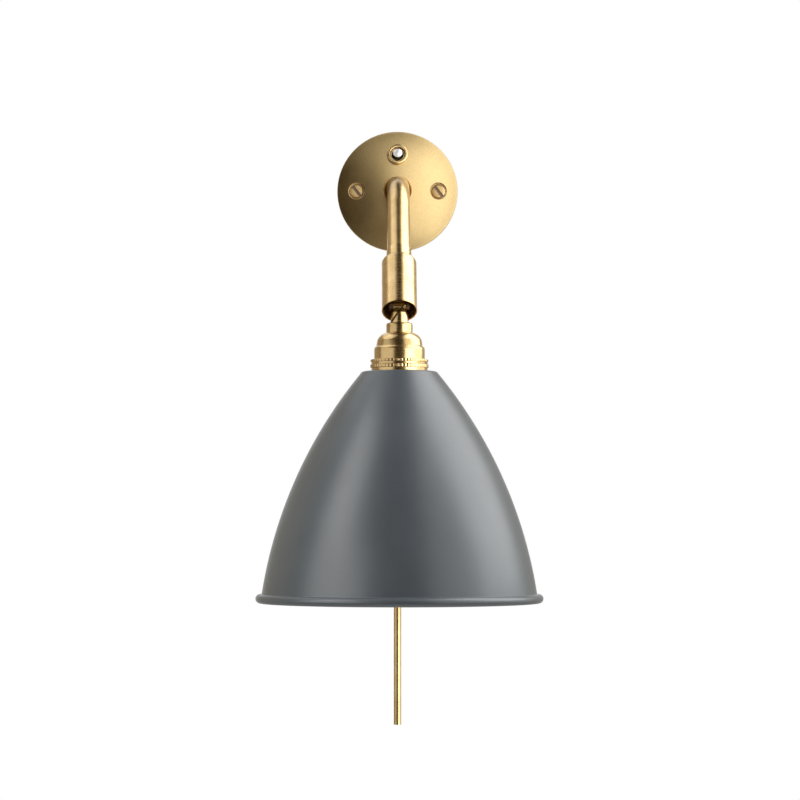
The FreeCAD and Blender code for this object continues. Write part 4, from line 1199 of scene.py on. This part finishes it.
@dataclass
class Bulb:
    """Round etched bulb on its rolled screw cap.

    Attributes:
        shop: What dresses and places the pieces.
        seat: The hinge axis, local Z straight down.
    """

    shop: Workshop
    seat: Seat
    tip: float = 35.8
    base: float = 55.5
    cap: float = 6.85
    neck: float = 6.6
    waist: float = 13.2
    radius: float = 22.5
    length: float = 50.0
    skin: float = 0.7
    contact: float = 2.4
    contact_rise: float = 1.2
    thread_top: float = 2.2
    thread: float = 0.6
    thread_margin: float = 2.5
    collar: float = 1.5
    pitch: float = 2.82

    def build(self) -> None:
        """Blow the glass and roll the cap."""
        bottom = self.base + self.length
        centre = bottom - self.radius
        inner, inner_waist = self.radius - self.skin, self.waist - self.skin
        waist = centre - math.sqrt(self.radius ** 2 - self.waist ** 2)
        skin_waist = centre - math.sqrt(inner ** 2 - inner_waist ** 2)
        glass = Section(self.neck - self.skin, self.base).line(self.neck, self.base)
        glass.line(self.waist, waist, 3.0).arc(self.radius, centre, self.radius, 14)
        glass.arc(0, bottom, self.radius, 20).line(0, bottom - self.skin)
        glass.arc(inner, centre, -inner, 20).arc(inner_waist, skin_waist, -inner, 14).close()
        self.shop.turn(glass, "bulb_globe", Body.HEAD, Slot.GLASS, "bulb_glass", self.seat, ETCHED,
                       96, 6, 60.0)
        core = self.cap - self.thread
        cap = Section(0, self.tip).line(self.contact, self.tip, 0.3)
        cap.line(core, self.tip + self.contact_rise, 0.3)
        height = self.tip + self.thread_top
        while height + self.pitch < self.base - self.thread_margin:
            cap.line(self.cap, height + self.pitch / 2, 0.5)
            height += self.pitch
            cap.line(core, height, 0.5)
        cap.line(self.cap, self.base - self.collar, 0.3).line(self.cap, self.base).line(0, self.base)
        self.shop.turn(cap, "bulb_screw_cap", Body.HEAD, Slot.BULB_METAL, "bulb_cap", self.seat,
                       ALUMINIUM, 72)


# ---------------------------------------------------------------------------------------
# Studio
# ---------------------------------------------------------------------------------------
@dataclass(frozen=True)
class Softbox:
    """An area lamp that faces the light and lights some of its pieces.

    Attributes:
        name: The lamp's name.
        direction: Degrees from the camera to the right, and degrees above the light.
        distance: Its distance in metres.
        size: Its width and height in metres.
        power: Its power in watts.
        rule: INCLUDE to light only the pieces, EXCLUDE to leave them out.
        pieces: The names of the pieces.
    """

    name: str
    direction: tuple[float, float]
    distance: float
    size: tuple[float, float]
    power: float
    rule: str
    pieces: tuple[str, ...]


PLATE, BELL = "wall_plate_dome", "bell_reflector"
FITTINGS = (PLATE, "plate_screw_left", "plate_screw_right", "switch_nut", "switch_sleeve", "switch_push")
SOFTBOXES = (
    Softbox("key_box", (19.0, 6.0), 1.3, (1.0, 1.8), 8.2, "INCLUDE", FITTINGS),
    Softbox("over_box", (-2.0, 44.0), 1.3, (1.1, 0.6), 0.9, "INCLUDE", (PLATE,)),
    Softbox("front_right_box", (50.0, -2.0), 1.3, (1.05, 0.8), 7.0, "EXCLUDE", (PLATE, BELL)),
    Softbox("right_box", (97.0, 36.0), 1.2, (1.2, 1.5), 13.5, "EXCLUDE", (PLATE,)),
    Softbox("left_low_box", (-56.0, 4.0), 1.2, (1.2, 0.85), 5.5, "INCLUDE", (BELL,)),
    Softbox("left_side_box", (-60.0, 2.0), 1.2, (1.6, 0.85), 3.5, "EXCLUDE", (PLATE, BELL)),
    Softbox("left_high_box", (-80.0, 48.0), 1.2, (0.85, 1.0), 2.8, "EXCLUDE", (PLATE, BELL)),
    Softbox("left_box", (-64.0, 40.0), 1.2, (0.6, 0.8), 4.2, "INCLUDE", (BELL,)),
)
# Name, hex colour, ends to the side, ends in height, and whether it runs up over the light.
CLOTHS = (
    ("front_cloth", "2a1d0a", (-100.0, 24.0), (-45.0, 72.0), False),
    ("over_cloth", "1c1207", (-10.0, 15.0), (-20.0, 125.0), True),
    ("left_cloth", "a89c86", (-155.0, -100.0), (-45.0, 35.0), False),
    ("right_cloth", "b0a794", (122.0, 160.0), (-45.0, 50.0), False),
)


@dataclass
class Studio:
    """White room without walls: camera, soft boxes, cloths that metal and lacquer show, a floor."""

    floor_drop: float = -1.2
    floor_size: float = 6.0
    cloth_out: float = 2.4
    camera_out: float = 1.630
    camera_side: float = -0.0205
    camera_drop: float = -0.193
    target: tuple[float, float, float] = (0.0003, -0.09, -0.127)
    lens: float = 124.5
    middle: tuple[float, float, float] = (0.0, -0.085, -0.1)
    ambient: float = 0.35
    floor_lift: float = 0.65

    def camera(self) -> None:
        """Stand the camera where the photograph was taken."""
        data = bpy.data.cameras.new("view")
        data.lens, data.sensor_width = self.lens, 36.0
        data.clip_start, data.clip_end = 0.05, 50.0
        made = bpy.data.objects.new("view", data)
        made.location = (self.camera_side, -self.camera_out, self.camera_drop)
        aim = Vector(self.target) - made.location
        made.rotation_euler = aim.to_track_quat("-Z", "Y").to_euler()
        bpy.context.scene.collection.objects.link(made)
        bpy.context.scene.camera = made

    def world(self) -> None:
        """Light the room evenly and show it white to the camera, metal and glass."""
        world = bpy.data.worlds.new("white_room")
        world.use_nodes = True
        tree = world.node_tree
        tree.nodes.clear()
        path = add(tree, "ShaderNodeLightPath").outputs
        seen = add(tree, "ShaderNodeMath", {0: path["Is Camera Ray"], 1: path["Is Glossy Ray"]},
                   operation="ADD").outputs["Value"]
        seen = add(tree, "ShaderNodeMath", {0: seen, 1: path["Is Transmission Ray"]},
                   operation="ADD", use_clamp=True).outputs["Value"]
        dim = add(tree, "ShaderNodeBackground", {"Color": linear("ffffff"), "Strength": self.ambient})
        white = add(tree, "ShaderNodeBackground", {"Color": linear("ffffff"), "Strength": 1.0})
        both = add(tree, "ShaderNodeMixShader", {0: seen, 1: dim.outputs[0], 2: white.outputs[0]})
        add(tree, "ShaderNodeOutputWorld", {"Surface": both.outputs[0]})
        bpy.context.scene.world = world

    def softbox(self, box: Softbox) -> None:
        """Hang an area lamp that faces the light, and link it to its pieces."""
        data = bpy.data.lights.new(box.name, "AREA")
        data.shape, data.energy = "RECTANGLE", box.power
        data.size, data.size_y = box.size
        made = bpy.data.objects.new(box.name, data)
        side, rise = (math.radians(angle) for angle in box.direction)
        away = Vector((math.cos(rise) * math.sin(side), -math.cos(rise) * math.cos(side), math.sin(rise)))
        made.location = Vector(self.middle) + away * box.distance
        made.rotation_euler = (-away).to_track_quat("-Z", "Y").to_euler()
        made.visible_camera = False
        bpy.context.scene.collection.objects.link(made)
        linked = bpy.data.collections.new("linked_to_" + box.name)
        for piece in box.pieces:
            linked.objects.link(bpy.data.objects[piece])
        for entry in linked.collection_objects:
            entry.light_linking.link_state = box.rule
        made.light_linking.receiver_collection = linked

    def cloth(self, name: str, code: str, sides: tuple[float, float], rises: tuple[float, float],
              over: bool = False) -> None:
        """Hang a curved cloth round the light, which only metal, lacquer and glass show.

        Args:
            name: The cloth's name.
            code: Its hex colour.
            sides: Its left and right ends in degrees, 0 at the camera and positive to the right.
            rises: Its lower and upper ends in degrees above the light's height.
            over: Whether it runs up over the light, an even strip, and not along the horizon.
        """
        mesh = bmesh.new()
        bmesh.ops.create_grid(mesh, x_segments=24, y_segments=24, size=0.5)
        for vert in mesh.verts:
            side = math.radians(sides[0] + (sides[1] - sides[0]) * (vert.co.x + 0.5))
            rise = math.radians(rises[0] + (rises[1] - rises[0]) * (vert.co.y + 0.5))
            turn = Matrix.Rotation(side, 3, "Z"), Matrix.Rotation(-rise, 3, "X")
            first, second = turn if over else reversed(turn)
            vert.co = second @ first @ Vector((0, -self.cloth_out, 0))
        made = as_object(name, mesh)
        material, _, shader = started("cloth_" + code)
        shader.inputs["Base Color"].default_value = linear("000000")
        shader.inputs["Roughness"].default_value = 1.0
        shader.inputs["Specular IOR Level"].default_value = 0.0
        shader.inputs["Emission Color"].default_value = linear(code)
        shader.inputs["Emission Strength"].default_value = 1.0
        made.data.materials.append(material)
        made.visible_camera = False
        made.visible_shadow = False

    def floor(self) -> None:
        """Lay a pale floor far below the light."""
        mesh = bmesh.new()
        bmesh.ops.create_grid(mesh, x_segments=1, y_segments=1, size=self.floor_size / 2)
        bmesh.ops.translate(mesh, vec=(0, 0, self.floor_drop), verts=mesh.verts)
        made = as_object("pale_floor", mesh)
        material, tree, shader = started("pale_floor_paint")
        path = add(tree, "ShaderNodeLightPath").outputs
        shader.inputs["Base Color"].default_value = linear("f4f4f2")
        shader.inputs["Roughness"].default_value = 0.9
        shader.inputs["Emission Color"].default_value = linear("ffffff")
        lift = add(tree, "ShaderNodeMath", {0: path["Is Camera Ray"], 1: self.floor_lift},
                   operation="MULTIPLY")
        link(tree, shader, Emission_Strength=lift.outputs["Value"])
        made.data.materials.append(material)

    def build(self) -> None:
        """Set up the whole studio."""
        bpy.context.scene.view_settings.view_transform = "Standard"
        self.camera()
        self.world()
        self.floor()
        for cloth in CLOTHS:
            self.cloth(*cloth)
        for box in SOFTBOXES:
            self.softbox(box)


def main() -> None:
    """Build the light in order, dress the nodes that stay, and set up the studio."""
    logging.basicConfig(level=logging.INFO, format="%(name)s: %(message)s")
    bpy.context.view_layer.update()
    shop = Workshop()
    hinge = joint_named("shade_tilt")
    swivel = joint_named("arm_swivel")
    lean = math.degrees(math.atan2(swivel["axis"][1], swivel["axis"][2]))
    pivot = Vector(hinge["pos_m"])
    mouth = pivot - Vector(swivel["axis"]) * PIN_DEPTH * MM
    wall = Seat((0.0, 0.0, 0.0), 90.0)
    joint = Seat(tuple(mouth), -lean)
    head = Seat(tuple(pivot), 180.0)
    plate = WallPlate(shop, wall)
    tilt = math.asin(SWITCH_RISE / plate.dome_radius())
    out = plate.crown - plate.dome_radius() * (1 - math.cos(tilt))
    switch_seat = Seat((0.0, -out * MM, SWITCH_RISE * MM), 90 - math.degrees(tilt))
    conduit_low, conduit_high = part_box("conduit_tube")
    conduit_top = Vector((0, (conduit_low[1] + conduit_high[1]) / 2, conduit_high[2]))

    switch = PushSwitch(shop, switch_seat)
    arm = Arm(shop, wall, joint)
    plate.plate(switch_seat, switch.barrel + 0.1, switch.nut + 0.1, conduit_top, arm.conduit)
    plate.screws()
    switch.build()
    arm.tube(lean)
    arm.end_collar()
    arm.conduit_pipe()
    Joint(shop, joint).housing()
    knuckle = Knuckle(shop, head)
    knuckle.stem()
    knuckle.ring()
    holder = Lampholder(shop, head)
    holder.cap()
    holder.rings()
    holder.threaded_sleeve()
    BellShade(shop, head).build()
    Bulb(shop, head).build()

    # The bush, fork and pin take the dark brass: painted shade round the arm and inside the joint.
    kept = {
        "arm_bush": (SHADE_PAINTED_BRASS, wall), "arm_lock_nut": (STEEL, wall), "switch_body": (PHENOLIC, switch_seat),
        "switch_tabs": (POLISHED, switch_seat), "terminal_block": (PHENOLIC, wall),
        "terminal_screws": (STEEL, wall), "earth_screw": (STEEL, wall), "swivel_bolt": (STEEL, joint),
        "friction_washer": (STEEL, joint), "pivot_fork": (SHADE_PAINTED_BRASS, joint), "pivot_pin": (SHADE_PAINTED_BRASS, joint),
        "stem_nut": (STEEL, head), "holder_base": (STEATITE, head), "screw_shell": (POLISHED, head),
        "centre_contact": (POLISHED, head),
    }
    for node, (finish, seat) in kept.items():
        shop.dress(node, shop.material(finish, seat))

    Studio().build()


if __name__ == "__main__":
    main()
